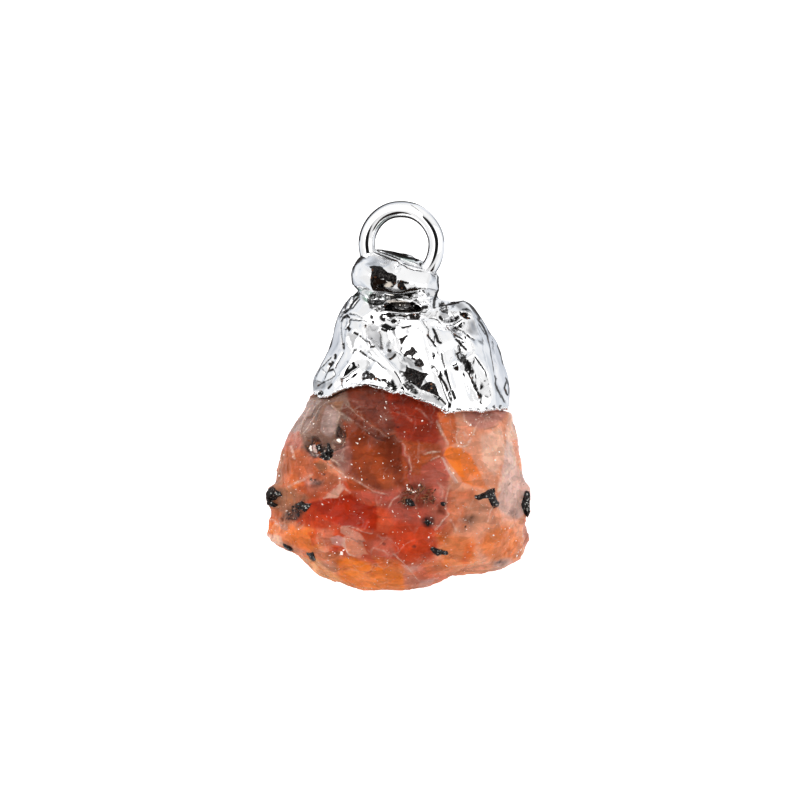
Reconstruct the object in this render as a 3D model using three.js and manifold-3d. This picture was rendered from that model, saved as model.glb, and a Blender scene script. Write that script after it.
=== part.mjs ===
// A rough sunstone charm: a broken lump of feldspar with black crystals grown in it, a plated metal
// cap that covers its top like a folded skin, and a round wire ring whose lower half is held in the
// knob on top of the cap. Millimetres, +Z up. The charm lies on its back on the stone's flat
// cleavage face. +Y points from the stone to the ring, and +X to the right as seen from above.
import * as THREE from "three";
import { ConvexHull } from "three/addons/math/ConvexHull.js";
import { ImprovedNoise } from "three/addons/math/ImprovedNoise.js";
import { mergeVertices } from "three/addons/utils/BufferGeometryUtils.js";
import Module from "manifold-3d";

// Driving dimensions
const WIRE_RADIUS = 0.425;
const RING_RADIUS = 1.86; // to the middle of the wire
const RING_CENTRE = [0.185, 7.744, 3.75];
const RING_LEAN = 0.05; // radians, the ring's top towards the viewer
const RING_TURN = 0.27; // radians, the ring's right side towards the viewer
const BOND_GAP = 0.1; // between the plated skin and what it grips
const SOCKET_SCALE = 0.91; // the cap's inside against its outside
const CROWN_SCALE = 0.885; // the stone's hidden crown against the cap's outside
const CROWN_TOP = 3.7; // the crown's end, below the knob
const RIM_LIP = 0.13; // radius of the rolled edge along the cap's rim
const REACH = 30; // past everything, for cutting solids

const wasm = await Module();
wasm.setup();
const noise = new ImprovedNoise();

// A closed three.js geometry as a solid that can be joined and cut.
function solidOf(geometry) {
  const bare = new THREE.BufferGeometry();
  bare.setAttribute("position", geometry.getAttribute("position"));
  if (geometry.index) bare.setIndex(geometry.index);
  const merged = mergeVertices(bare, 1e-4);
  return new wasm.Manifold(
    new wasm.Mesh({
      numProp: 3,
      vertProperties: new Float32Array(merged.attributes.position.array),
      triVerts: new Uint32Array(merged.index.array),
    }),
  );
}

function geometryOf(solid) {
  const mesh = solid.getMesh();
  const geometry = new THREE.BufferGeometry();
  geometry.setAttribute("position", new THREE.BufferAttribute(mesh.vertProperties, 3));
  geometry.setIndex(new THREE.BufferAttribute(mesh.triVerts, 1));
  geometry.computeVertexNormals();
  return geometry;
}

// A few-sided ball stretched to its own radii and turned, as a solid.
function lump([x, y, z], [rx, ry, rz], turn = [0, 0, 0], detail = 1) {
  const ball = new THREE.IcosahedronGeometry(1, detail);
  ball.scale(rx, ry, rz);
  ball.applyMatrix4(new THREE.Matrix4().makeRotationFromEuler(new THREE.Euler(...turn)));
  ball.translate(x, y, z);
  return solidOf(ball);
}

// Joins landmark points into a closed skin round a centre, as the hull of their directions does.
function skinFaces(points, centre) {
  const onSphere = points.map((p, i) => {
    const direction = p.clone().sub(centre).normalize();
    direction.landmark = i;
    return direction;
  });
  const hull = new ConvexHull().setFromPoints(onSphere);
  return hull.faces.map((face) => {
    const corners = [];
    let edge = face.edge;
    do {
      corners.push(edge.head().point.landmark);
      edge = edge.next;
    } while (edge !== face.edge);
    return corners;
  });
}

// Halves every edge longer than a limit, and splits the triangles on both sides of it to match.
function splitFaces(points, faces, limit) {
  const halves = new Map();
  const half = (a, b) => {
    const key = a < b ? a + "_" + b : b + "_" + a;
    if (!halves.has(key)) {
      const long = points[a].distanceTo(points[b]) > limit;
      halves.set(key, long ? points.length : null);
      if (long) points.push(points[a].clone().add(points[b]).multiplyScalar(0.5));
    }
    return halves.get(key);
  };
  return faces.flatMap(([a, b, c]) => {
    const [ab, bc, ca] = [half(a, b), half(b, c), half(c, a)];
    const [p, q, r] = [ab !== null, bc !== null, ca !== null];
    if (p && q && r) return [[a, ab, ca], [ab, b, bc], [ca, bc, c], [ab, bc, ca]];
    if (p && q) return [[ab, b, bc], [a, ab, bc], [a, bc, c]];
    if (q && r) return [[bc, c, ca], [b, bc, ca], [b, ca, a]];
    if (r && p) return [[ca, a, ab], [c, ca, ab], [c, ab, b]];
    if (p) return [[a, ab, c], [ab, b, c]];
    if (q) return [[b, bc, a], [bc, c, a]];
    if (r) return [[c, ca, b], [ca, a, b]];
    return [[a, b, c]];
  });
}

// Moves each point part of the way to the middle of its neighbours, but none that is on the table.
function relax(points, faces, share) {
  const sums = points.map(() => ({ sum: new THREE.Vector3(), count: 0 }));
  for (const face of faces) {
    face.forEach((corner, i) => {
      sums[corner].sum.add(points[face[(i + 1) % 3]]).add(points[face[(i + 2) % 3]]);
      sums[corner].count += 2;
    });
  }
  points.forEach((p, i) => {
    if (p.z > 0) p.lerp(sums[i].sum.divideScalar(sums[i].count), share);
  });
}

// Broken-surface relief at a point: coarse and fine noise, from -1 to 1.
function relief({ x, y, z }, coarse, fine) {
  return (
    0.65 * noise.noise(x / coarse + 7.3, y / coarse - 2.1, z / coarse + 4.4) +
    0.35 * noise.noise(x / fine - 3.7, y / fine + 9.2, z / fine - 1.6)
  );
}

// A star-shaped body from landmarks, with its edges halved down to each limit in turn. Points on
// the table stay there, so that face is flat.
function body({ landmarks, centre, limits, soft, rough, coarse = 1.6, fine = 0.7, scale = 1 }) {
  const middle = new THREE.Vector3(...centre);
  const points = landmarks.map((p) => new THREE.Vector3(...p));
  let faces = skinFaces(points, middle);
  for (const limit of limits) {
    faces = splitFaces(points, faces, limit);
    relax(points, faces, soft);
  }
  for (const p of points) {
    if (p.z < 1e-6) continue;
    const outward = p.clone().sub(middle).normalize();
    p.addScaledVector(outward, 2 * rough * relief(p, coarse, fine));
    p.z = Math.max(p.z, 0);
  }
  for (const p of points) p.sub(middle).multiplyScalar(scale).add(middle);
  const geometry = new THREE.BufferGeometry().setFromPoints(points);
  geometry.setIndex(faces.flat());
  return geometry;
}

// A strand along a path, full in its middle and drawn to a point at both ends.
function strand(path, radius, { sides = 3, steps = 6 } = {}) {
  const curve = new THREE.CatmullRomCurve3(path);
  const points = [curve.getPoint(0)];
  const faces = [];
  for (let i = 1; i < steps; i++) {
    const t = i / steps;
    const along = curve.getTangent(t);
    const across = new THREE.Vector3(0, 0, 1).cross(along).normalize();
    const up = along.clone().cross(across);
    const girth = radius * Math.min(1, 2.2 * Math.sqrt(t * (1 - t)));
    for (let k = 0; k < sides; k++) {
      const turn = (2 * Math.PI * k) / sides;
      const point = curve.getPoint(t);
      point.addScaledVector(across, girth * Math.cos(turn));
      points.push(point.addScaledVector(up, girth * Math.sin(turn)));
    }
  }
  points.push(curve.getPoint(1));
  const last = points.length - 1;
  const at = (i, k) => 1 + (i - 1) * sides + (k % sides);
  for (let k = 0; k < sides; k++) {
    faces.push([0, at(1, k + 1), at(1, k)]);
    for (let i = 1; i < steps - 1; i++) {
      faces.push([at(i, k), at(i, k + 1), at(i + 1, k)]);
      faces.push([at(i, k + 1), at(i + 1, k + 1), at(i + 1, k)]);
    }
    faces.push([last, at(steps - 1, k), at(steps - 1, k + 1)]);
  }
  const geometry = new THREE.BufferGeometry().setFromPoints(points);
  geometry.setIndex(faces.flat());
  return solidOf(geometry);
}

// Lays a line of X and Y on a surface as seen from the front (side 1) or the back (side -1).
function layOn(surface, line, side, lift = 0) {
  const mesh = new THREE.Mesh(surface, new THREE.MeshBasicMaterial({ side: THREE.DoubleSide }));
  const down = new THREE.Vector3(0, 0, -side);
  return line.flatMap(([x, y]) => {
    const ray = new THREE.Raycaster(new THREE.Vector3(x, y, side * REACH), down);
    const [hit] = ray.intersectObject(mesh);
    return hit ? [hit.point.addScaledVector(down, -lift)] : [];
  });
}

// The stone's landmarks round it at mid height, from the top left and anticlockwise
const STONE_EDGE = [
  [-4.3, 0.7, 3.7],
  [-4.82, -0.72, 3.9],
  [-5.6, -1.75, 3.2],
  [-5.9, -2.75, 4.2],
  [-6.35, -4.1, 3.4],
  [-6.55, -5.8, 3.6],
  [-6.5, -6.35, 3.1],
  [-6.72, -7.2, 3.7],
  [-6.45, -7.64, 4.4],
  [-5.3, -8.08, 3.3],
  [-4.0, -9.35, 3.4],
  [-2.7, -9.64, 4.1],
  [-1.9, -9.98, 3.1],
  [-0.6, -10.05, 4.1],
  [0.8, -9.95, 3.4],
  [1.9, -9.66, 4.3],
  [2.5, -9.12, 3.3],
  [4.4, -9.07, 3.1],
  [5.5, -8.84, 4.1],
  [6.34, -8.38, 3.4],
  [6.8, -7.22, 3.6],
  [6.62, -6.5, 4.3],
  [6.6, -4.8, 4.2],
  [6.14, -2.8, 4.3],
  [6.16, -2.0, 3.3],
  [5.85, -1.0, 4.2],
  [5.5, 0, 3.6],
];
// The front's landmarks: X, Y and how far each stands above or below the stone's even swell
const STONE_FRONT = [
  // under the rim of the cap
  [-3.6, -0.1, -0.7],
  [-2.4, 0.4, -0.05],
  [-0.7, 0.3, 0.2],
  [1.0, -0.3, 0.1],
  [2.5, -0.9, 0.05],
  [4.1, -0.85, 0],
  [5.1, -0.75, -0.35],
  // overlapping cleavage plates on the left shoulder
  [-4.55, -1.5, -0.4],
  [-4.0, -1.1, 0.05],
  [-3.1, -0.9, 0.16],
  [-3.4, -1.9, 0.2],
  [-4.3, -2.3, 0.02],
  [-5.05, -2.5, -0.3],
  [-2.7, -2.2, 0.16],
  [-3.5, -2.75, -0.22], // pit of the dark crystals
  // wide window between two ridges
  [-1.7, -1.15, 0.16],
  [-0.8, -1.9, 0.2],
  [0.1, -2.45, 0.1],
  [-1.4, -3.1, -0.2],
  [-3.65, -3.35, 0.12],
  [-2.65, -3.98, 0.24],
  [-1.85, -4.5, 0.24],
  [-0.95, -4.95, 0.18],
  // ledge right of the window, its foot and its lip
  [0.38, -3.95, -0.14],
  [0.3, -4.55, -0.08],
  [0.5, -2.85, 0.12],
  [0.85, -3.75, 0.18],
  [0.85, -4.55, 0.12],
  [1.5, -3.1, 0.08],
  // smooth sunken face with a raised left edge
  [2.2, -2.75, 0.24],
  [2.85, -4.5, 0.24],
  [2.6, -2.95, 0.02],
  [3.5, -2.65, 0],
  [3.15, -4.4, 0],
  [4.5, -4.7, 0.12],
  // glassy notch and the right shoulder
  [3.45, -2.1, -0.14],
  [5.1, -2.1, 0.02],
  // ridge down the right flank
  [5.45, -3.1, 0.02],
  [5.2, -4.3, 0.22],
  [4.85, -5.6, 0.26],
  [4.5, -6.6, 0.12],
  [5.75, -5.7, -0.1],
  // swell between the ridges
  [3.6, -6.6, -0.08],
  [2.5, -5.3, 0.24],
  [2.2, -6.4, 0.18],
  [0.8, -5.2, 0.12],
  [1.4, -6.1, -0.08],
  // red hollow
  [-3.9, -5.25, 0.1],
  [-2.95, -4.5, 0.08],
  [-3.0, -5.5, -0.14],
  [-1.5, -5.8, -0.2],
  [-0.5, -6.6, 0.02],
  // pale flake below it
  [-3.0, -6.8, 0.1],
  [-1.85, -7.0, 0.22],
  [-1.4, -7.9, 0.1],
  [-2.7, -7.9, 0.06],
  // left foot
  [-5.5, -3.6, -0.3],
  [-4.5, -4.0, -0.02],
  [-4.4, -5.9, 0.02],
  [-5.6, -5.9, -0.3],
  [-5.1, -6.9, 0.02],
  [-4.0, -7.4, 0.1],
  // lower edge, the bottom lobe and the edge that runs down to it
  [0.1, -8.3, 0.22],
  [0.7, -8.85, 0.2],
  [-1.9, -8.8, 0.12],
  [-0.6, -9.2, 0.24],
  [1.7, -7.9, -0.1],
  [3.6, -7.8, 0.12],
  [5.1, -7.5, 0.16],
  [4.2, -8.4, 0.1],
  [-3.4, -8.6, 0.1],
];
const STONE_BACK = [
  // the flat cleavage face that the charm lies on
  [-4.3, -1.9, 0],
  [-5.0, -5.6, 0],
  [-3.1, -8.3, 0],
  [1.4, -8.8, 0],
  [4.9, -7.4, 0],
  [5.3, -4.2, 0],
  [4.1, -1.5, 0],
  [2.0, -1.0, 0],
  [-1.8, -1.0, 0],
  // worn slope round it
  [-5.6, -2.5, 1.9],
  [-6.05, -4.2, 1.4],
  [-6.25, -5.6, 1.9],
  [-6.1, -7.3, 1.7],
  [-4.1, -9.0, 2.0],
  [-0.7, -9.7, 1.5],
  [2.1, -9.25, 1.8],
  [5.3, -8.5, 1.6],
  [6.35, -6.4, 2.0],
  [6.15, -4.4, 1.5],
  [5.85, -2.3, 2.0],
  // under the rim of the cap at the back
  [-4.2, -0.4, 1.8],
  [-2.2, -0.2, 0.55],
  [0.2, 0.1, 0.4],
  [2.6, -0.3, 0.5],
  [4.7, -0.6, 1.7],
];
const STONE_TOP = [
  [-2.6, 1.8, 4.4],
  [0.6, 2.2, 4.8],
  [3.4, 1.6, 4.3],
  [0.4, 2.1, 2.2],
];

// The stone's even swell towards the viewer.
function swell(x, y) {
  const aside = 3.3 * Math.abs((x - 0.1) / 6.6) ** 3.2;
  const rise = (y + 5) / 5;
  return 7.7 - aside - (rise > 0 ? 1.3 * rise ** 2 : 3.4 * -(rise ** 3));
}

// The cap's landmarks round it at mid height, from the bottom left and clockwise
const CAP_EDGE = [
  [-4.42, 0.2, 3.7],
  [-4.42, 0.82, 3.3],
  [-4.1, 1.44, 4.1],
  [-3.66, 2.05, 3.3],
  [-3.48, 2.67, 4.0],
  [-3.3, 3.3, 3.3],
  [-3.14, 3.95, 4.0],
  [-2.95, 4.5, 3.3],
  [-2.5, 5.2, 3.9],
  [-1.7, 5.7, 3.6],
  [0, 5.8, 3.6],
  [1.6, 5.6, 3.7],
  [2.15, 5.1, 3.6],
  [2.5, 4.78, 3.7],
  [2.95, 4.95, 3.6],
  [3.45, 5.0, 3.9],
  [3.98, 4.6, 3.5],
  [4.36, 3.92, 4.0],
  [4.8, 3.28, 3.4],
  [5.18, 2.65, 3.9],
  [5.48, 1.75, 3.4],
  [5.7, 0.92, 4.0],
  [5.8, 0.3, 3.4],
  [5.74, -0.7, 3.8],
];
const CAP_FRONT = [
  // along the rim
  [-3.9, -0.1, 5.1],
  [-3.0, 0.1, 6.0],
  [-2.0, 0.4, 6.45],
  [-0.7, 0.3, 6.85],
  [1.4, -0.3, 7.0],
  [2.6, -0.8, 7.15],
  [4.4, -0.8, 6.35],
  [5.1, -0.75, 5.4],
  // edge of the left flank
  [-2.3, 4.0, 5.0],
  [-2.65, 3.1, 5.15],
  [-2.8, 2.3, 5.2],
  [-3.3, 1.4, 5.2],
  [-3.7, 0.7, 4.95],
  // smooth oval, the root below it and the recess above the rim
  [-2.0, 2.9, 5.75],
  [-2.3, 1.9, 5.8],
  [-2.8, 1.0, 5.95],
  [-1.85, 1.1, 5.9],
  // diagonal ridge
  [-1.8, 4.0, 5.3],
  [-1.45, 3.0, 5.9],
  [-0.95, 2.1, 6.55],
  [-0.2, 1.25, 7.0],
  // hollow and fold right of it
  [-0.9, 3.6, 5.6],
  [-0.5, 2.75, 5.7],
  [0.1, 2.2, 6.15],
  // the flat that faces the viewer
  [0.75, 2.6, 6.3],
  [1.2, 1.5, 6.5],
  [1.6, 0.5, 6.75],
  // broad ridge right of it
  [1.3, 3.6, 6.1],
  [1.9, 2.5, 6.85],
  [2.45, 1.4, 7.15],
  [2.8, 0.2, 7.1],
  // long crease and the ridge beyond it
  [2.65, 3.5, 5.2],
  [3.1, 2.3, 6.0],
  [3.6, 1.2, 6.15],
  [4.05, 0, 6.25],
  [3.25, 4.2, 5.55],
  [3.55, 3.2, 5.9],
  [4.0, 2.2, 6.5],
  [4.5, 1.1, 6.5],
  [4.85, 0, 6.05],
  // right flank
  [4.45, 2.9, 5.2],
  [4.95, 1.9, 5.2],
  [5.25, 0.8, 5.2],
  // rounded top of the side fold and the valley to the knob
  [3.05, 4.75, 4.9],
  [3.75, 4.35, 5.0],
  [2.4, 4.45, 4.2],
  // front of the neck
  [-1.7, 4.9, 4.7],
  [-0.7, 4.6, 5.3],
  [0.6, 4.5, 5.45],
  [1.7, 4.6, 5.2],
];
const CAP_BACK = [
  // folds that the charm lies on
  [-1.7, 2.5, 0],
  [0.2, 3.3, 0],
  [2.3, 2.6, 0],
  [0.3, 1.9, 0],
  // round them
  [-4.0, 0.3, 2.2],
  [-3.4, 1.0, 1.4],
  [-2.0, 0.5, 0.4],
  [0.3, 0.7, 0.25],
  [2.6, 0.2, 0.35],
  [4.5, 0, 1.2],
  [5.3, -0.2, 2.3],
  [-2.8, 2.5, 1.5],
  [3.4, 2.7, 1.1],
  [4.4, 2.2, 1.6],
  [-2.3, 4.2, 2.2],
  [-0.8, 4.4, 1.5],
  [1.0, 4.5, 1.8],
  [2.2, 3.9, 1.8],
  [3.4, 4.0, 2.3],
];
const CAP_FOOT = [
  // below the rim, where the skin is cut away and the crown passes into the stone
  [-3.9, -1.3, 3.7],
  [-1.3, -1.6, 5.8],
  [3.0, -2.0, 5.8],
  [5.1, -1.8, 3.7],
  [2.6, -1.6, 1.4],
  [-1.6, -1.2, 1.4],
  [0.6, -2.4, 3.7],
];

// The knob that wraps the ring: a ball at the left that runs out to the right and down to the neck
const KNOB = [
  [-2.42, 6.4, 4.2],
  [-2.42, 5.75, 3.8],
  [-1.7, 4.96, 3.9],
  [-0.6, 4.85, 4.3],
  [1.5, 4.7, 4.3],
  [2.15, 4.9, 3.8],
  [2.28, 5.5, 4.1],
  [2.14, 6.6, 4.0],
  [1.4, 6.95, 3.6],
  [0.6, 7.3, 3.7],
  [-0.3, 7.52, 3.6],
  [-1.1, 7.62, 3.9],
  [-2.2, 6.95, 4.0],
  // front
  [-1.25, 6.2, 5.95],
  [-2.0, 6.05, 5.3],
  [-1.85, 6.8, 5.05],
  [-1.3, 5.3, 5.3],
  [-0.35, 6.0, 5.6],
  [0.6, 5.8, 5.45],
  [1.5, 5.6, 5.2],
  [0.1, 5.15, 5.3],
  [0, 6.95, 4.95],
  [0.9, 6.65, 4.8],
  [1.7, 6.3, 4.7],
  // back
  [-1.3, 6.3, 2.2],
  [-2.0, 6.1, 2.8],
  [-1.1, 7.2, 2.8],
  [1.3, 5.9, 2.4],
  [0.6, 6.9, 2.7],
  [-1.0, 5.1, 2.4],
  [0.7, 4.9, 2.3],
];

// Where the plated skin ends, from left to right
const RIM_FRONT = [
  [-4.6, 0.15],
  [-4.0, -0.08],
  [-3.62, -0.12],
  [-2.97, 0.22],
  [-2.4, 0.42],
  [-1.6, 0.5],
  [-0.75, 0.3],
  [-0.2, 0.05],
  [0.15, 0.1],
  [0.9, -0.22],
  [1.85, -0.55],
  [2.5, -0.95],
  [3.3, -0.8],
  [4.2, -0.86],
  [5.0, -0.75],
  [6.0, -0.65],
];
const RIM_BACK = [
  [-4.6, 0.15],
  [-3.8, 0.5],
  [-2.9, 0.2],
  [-1.9, -0.1],
  [-0.8, 0.25],
  [0.2, 0.55],
  [1.3, 0.2],
  [2.3, -0.25],
  [3.2, 0],
  [4.3, -0.45],
  [5.2, -0.7],
  [6.0, -0.65],
];
const RIM_SPLIT = 3.7; // the height where the front's rim gives way to the back's

// Creases of the skin, front then back: points of X and Y, and the radius of the cut
const FRONT_CREASES = [
  [[[2.7, 3.5], [3.3, 2.1], [3.75, 0.9], [4.2, -0.5]], 0.15],
  [[[4.3, 3.5], [4.85, 2.2], [5.15, 0.7], [5.35, -0.7]], 0.11],
  [[[1.8, 1.6], [2.35, 0.7], [2.8, -0.4]], 0.1],
  [[[2.1, 4.6], [2.9, 3.5], [3.6, 2.5]], 0.13],
  [[[-2.0, 3.9], [-1.75, 3.1], [-1.1, 2.0], [0.1, 0.5]], 0.11],
  [[[-2.4, 3.8], [-2.5, 2.6], [-3.2, 1.2], [-3.7, 0.3]], 0.11],
  [[[-2.1, 0.85], [-1.4, 1.1], [-0.4, 0.6]], 0.13],
];
const BACK_CREASES = [
  [[[-2.6, 3.6], [-2.1, 2.2], [-1.9, 0.5]], 0.13],
  [[[0.2, 4.2], [0.3, 2.5], [0.4, 0.9]], 0.13],
  [[[2.2, 3.6], [2.9, 2.0], [3.4, 0.4]], 0.13],
];

// A flat outline in X and Y, drawn out along Z between two heights.
function curtain(points, low, high) {
  const shape = new THREE.Shape(points.map(([x, y]) => new THREE.Vector2(x, y)));
  const wall = new THREE.ExtrudeGeometry(shape, { depth: high - low, bevelEnabled: false });
  wall.translate(0, 0, low);
  return solidOf(wall);
}

// All space on the cap's side of the rim, moved down by drop.
function aboveRim(drop) {
  const side = (rim, low, high) => {
    const line = rim.map(([x, y]) => [x, y - drop]);
    const [first, last] = [line[0], line[line.length - 1]];
    const outline = [[-REACH, first[1]], ...line, [REACH, last[1]], [REACH, REACH], [-REACH, REACH]];
    return curtain(outline, low, high);
  };
  return side(RIM_BACK, -REACH, RIM_SPLIT).add(side(RIM_FRONT, RIM_SPLIT, REACH));
}

// All space on the stone's side of a height along the charm.
function below(y) {
  const block = new THREE.BoxGeometry(2 * REACH, 2 * REACH, 2 * REACH);
  block.translate(0, y - REACH, 0);
  return solidOf(block);
}

function capForm(scale, limits) {
  return body({
    landmarks: [...CAP_EDGE, ...CAP_FRONT, ...CAP_BACK, ...CAP_FOOT],
    centre: [0.6, 1.6, 3.8],
    limits,
    soft: 0.12,
    rough: 0.07,
    coarse: 1.3,
    scale,
  });
}

// Dark crystals that stand out of the stone: place, radii and turn
const DARK_CRYSTALS = [
  [[-6.3, -4.95, 4.2], [0.45, 0.5, 0.5], [0.3, 0.2, 0.5]],
  [[-6.4, -5.5, 4.0], [0.38, 0.3, 0.45], [0.1, 0.4, 0.2]],
  [[6.48, -5.4, 4.1], [0.3, 0.95, 0.5], [0.2, 0.1, -0.12]],
  [[-4.9, -5.65, 5.95], [0.6, 0.26, 0.3], [0, 0.3, 0.25]],
  [[4.5, -5.1, 6.95], [0.55, 0.24, 0.28], [0, 0.4, 0.3]],
  [[4.85, -5.5, 6.7], [0.22, 0.42, 0.25], [0, 0.4, 0.5]],
  [[1.95, -7.95, 6.6], [0.5, 0.2, 0.25], [0.3, 0, -0.35]],
  [[-4.5, -8.25, 4.9], [0.26, 0.34, 0.3], [0.2, 0.3, 0.5]],
  [[-5.6, -7.75, 4.6], [0.3, 0.26, 0.26], [0.2, 0.3, -0.5]],
];

function makeStone() {
  const front = STONE_FRONT.map(([x, y, lift]) => [x, y, swell(x, y) + lift]);
  const chunk = body({
    landmarks: [...STONE_EDGE, ...front, ...STONE_BACK, ...STONE_TOP],
    centre: [0.1, -4.7, 3.9],
    limits: [0.75, 0.75],
    soft: 0.06,
    rough: 0.09,
  });
  const crown = solidOf(capForm(CROWN_SCALE, [])).intersect(below(CROWN_TOP));
  let stone = solidOf(chunk).subtract(aboveRim(BOND_GAP)).add(crown);
  for (const [place, radii, turn] of DARK_CRYSTALS) stone = stone.add(lump(place, radii, turn));
  return stone;
}

function ringGeometry(wireRadius) {
  const ring = new THREE.TorusGeometry(RING_RADIUS, wireRadius, 10, 36);
  ring.rotateX(RING_LEAN);
  ring.rotateY(-RING_TURN);
  ring.translate(...RING_CENTRE);
  return ring;
}

function makeCap() {
  const skin = capForm(1, [0.6, 0.72]);
  let cap = solidOf(skin).intersect(aboveRim(0));
  cap = cap.add(solidOf(body({
    landmarks: KNOB,
    centre: [-0.1, 6.1, 3.9],
    limits: [0.5, 0.62],
    soft: 0.2,
    rough: 0.04,
  })));
  // rolled edge along the rim, and the creases above it
  const lip = layOn(skin, RIM_FRONT.slice(1, -1).map(([x, y]) => [x, y + RIM_LIP]), 1);
  cap = cap.add(strand(lip, RIM_LIP, { sides: 4, steps: 18 }));
  for (const [line, radius] of FRONT_CREASES) {
    cap = cap.subtract(strand(layOn(skin, line, 1, 0.03), radius));
  }
  for (const [line, radius] of BACK_CREASES) {
    cap = cap.subtract(strand(layOn(skin, line, -1, 0.03), radius));
  }
  // slot under the knob
  cap = cap.subtract(lump([0.25, 4.55, 5.1], [0.95, 0.22, 0.85], [0.2, 0, -0.04]));
  const socket = solidOf(capForm(SOCKET_SCALE, [])).intersect(below(CROWN_TOP + BOND_GAP));
  return cap.subtract(socket).subtract(solidOf(ringGeometry(WIRE_RADIUS + BOND_GAP)));
}

function named(name, geometry, colour, roughness, metalness) {
  const material = new THREE.MeshStandardMaterial({ color: colour, roughness, metalness });
  const mesh = new THREE.Mesh(geometry, material);
  mesh.name = name;
  return mesh;
}

const charm = new THREE.Group();
charm.add(named("stone", geometryOf(makeStone()), 0xd0643c, 0.4, 0));
charm.add(named("cap", geometryOf(makeCap()), 0xd9dbdd, 0.12, 1));
charm.add(named("ring", ringGeometry(WIRE_RADIUS), 0xd9dbdd, 0.08, 1));

// The origin is the middle of the charm's outline, on the table.
const box = new THREE.Box3().setFromObject(charm, true);
const middle = box.getCenter(new THREE.Vector3());
charm.position.set(-middle.x, -middle.y, 0);

export default charm;
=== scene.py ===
"""A rough sunstone charm: a broken orange feldspar lump with black crystals in it, a bright plated cap
moulded over its top and a round wire ring held in the cap's knob. It lies on its back."""

import math
from itertools import product

import bmesh
import bpy
import numpy as np
from bpy.props import FloatProperty, FloatVectorProperty, IntProperty, PointerProperty
from mathutils import Euler, Matrix, Vector
from mathutils.bvhtree import BVHTree


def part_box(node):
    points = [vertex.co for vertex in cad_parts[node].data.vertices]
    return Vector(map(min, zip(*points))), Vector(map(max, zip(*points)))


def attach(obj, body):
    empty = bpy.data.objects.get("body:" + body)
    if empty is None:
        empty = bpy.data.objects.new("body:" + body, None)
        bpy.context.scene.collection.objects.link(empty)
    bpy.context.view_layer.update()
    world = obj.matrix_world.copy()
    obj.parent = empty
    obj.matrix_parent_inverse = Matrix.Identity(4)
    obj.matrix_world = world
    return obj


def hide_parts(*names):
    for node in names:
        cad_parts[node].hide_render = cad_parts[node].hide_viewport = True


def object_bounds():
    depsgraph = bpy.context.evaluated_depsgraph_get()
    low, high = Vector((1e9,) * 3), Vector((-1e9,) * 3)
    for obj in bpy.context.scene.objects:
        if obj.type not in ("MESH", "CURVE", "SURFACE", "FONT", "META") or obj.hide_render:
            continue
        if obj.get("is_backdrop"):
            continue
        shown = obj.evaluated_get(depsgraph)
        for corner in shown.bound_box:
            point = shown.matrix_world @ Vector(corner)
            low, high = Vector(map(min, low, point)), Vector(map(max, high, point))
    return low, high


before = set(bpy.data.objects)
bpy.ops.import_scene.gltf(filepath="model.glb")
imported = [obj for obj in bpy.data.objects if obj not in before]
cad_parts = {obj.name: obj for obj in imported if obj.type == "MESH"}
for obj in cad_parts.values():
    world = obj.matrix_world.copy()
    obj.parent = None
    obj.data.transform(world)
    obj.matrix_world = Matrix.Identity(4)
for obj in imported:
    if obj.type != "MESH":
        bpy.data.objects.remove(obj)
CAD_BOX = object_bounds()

bl_info = {
    "name": "Sunstone Charm",
    "version": (1, 0, 0),
    "blender": (4, 5, 0),
    "location": "View3D > Sidebar > Sunstone Charm",
    "description": "Makes a rough sunstone charm with a plated cap and a wire ring",
    "category": "Object",
}

MM = 0.001

# Places on the charm's front are x,y pairs in the photo's pixels. Sizes are in millimetres, turns in degrees.
CHARM_LENGTH = 20  # in millimetres, with its ring
CHARM_PIXELS = 390  # the same length in the photo
PHOTO_ORIGIN = (398, 396)  # the pixel over the middle of the charm
PIXEL = CHARM_LENGTH / CHARM_PIXELS

# The stone

# Feldspar colours, as sRGB from 0 to 255
TINTS = {
    "bright orange": (240, 122, 42),
    "window orange": (250, 126, 34),
    "orange": (212, 104, 52),
    "pale orange": (248, 166, 104),
    "burnt orange": (172, 74, 32),
    "copper": (190, 90, 42),
    "flame": (226, 96, 30),
    "red": (212, 70, 32),
    "deep red": (184, 46, 16),
    "blood": (154, 46, 22),
    "window brown": (140, 60, 32),
    "umber": (116, 46, 26),
    "olive brown": (142, 94, 66),
    "peach": (234, 156, 122),
    "cream": (244, 194, 170),
    "pink": (204, 118, 98),
    "rose": (186, 88, 72),
    "veil": (166, 136, 128),
    "pale veil": (186, 162, 156),
    "veil brown": (132, 100, 86),
    "tan": (190, 132, 104),
    "mauve": (184, 118, 106),
    "lilac": (216, 184, 176),
    "rust": (92, 38, 20),
    "dark rust": (60, 22, 10),
    "amber": (150, 76, 34),
    "smoke": (78, 62, 56),
}

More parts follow.
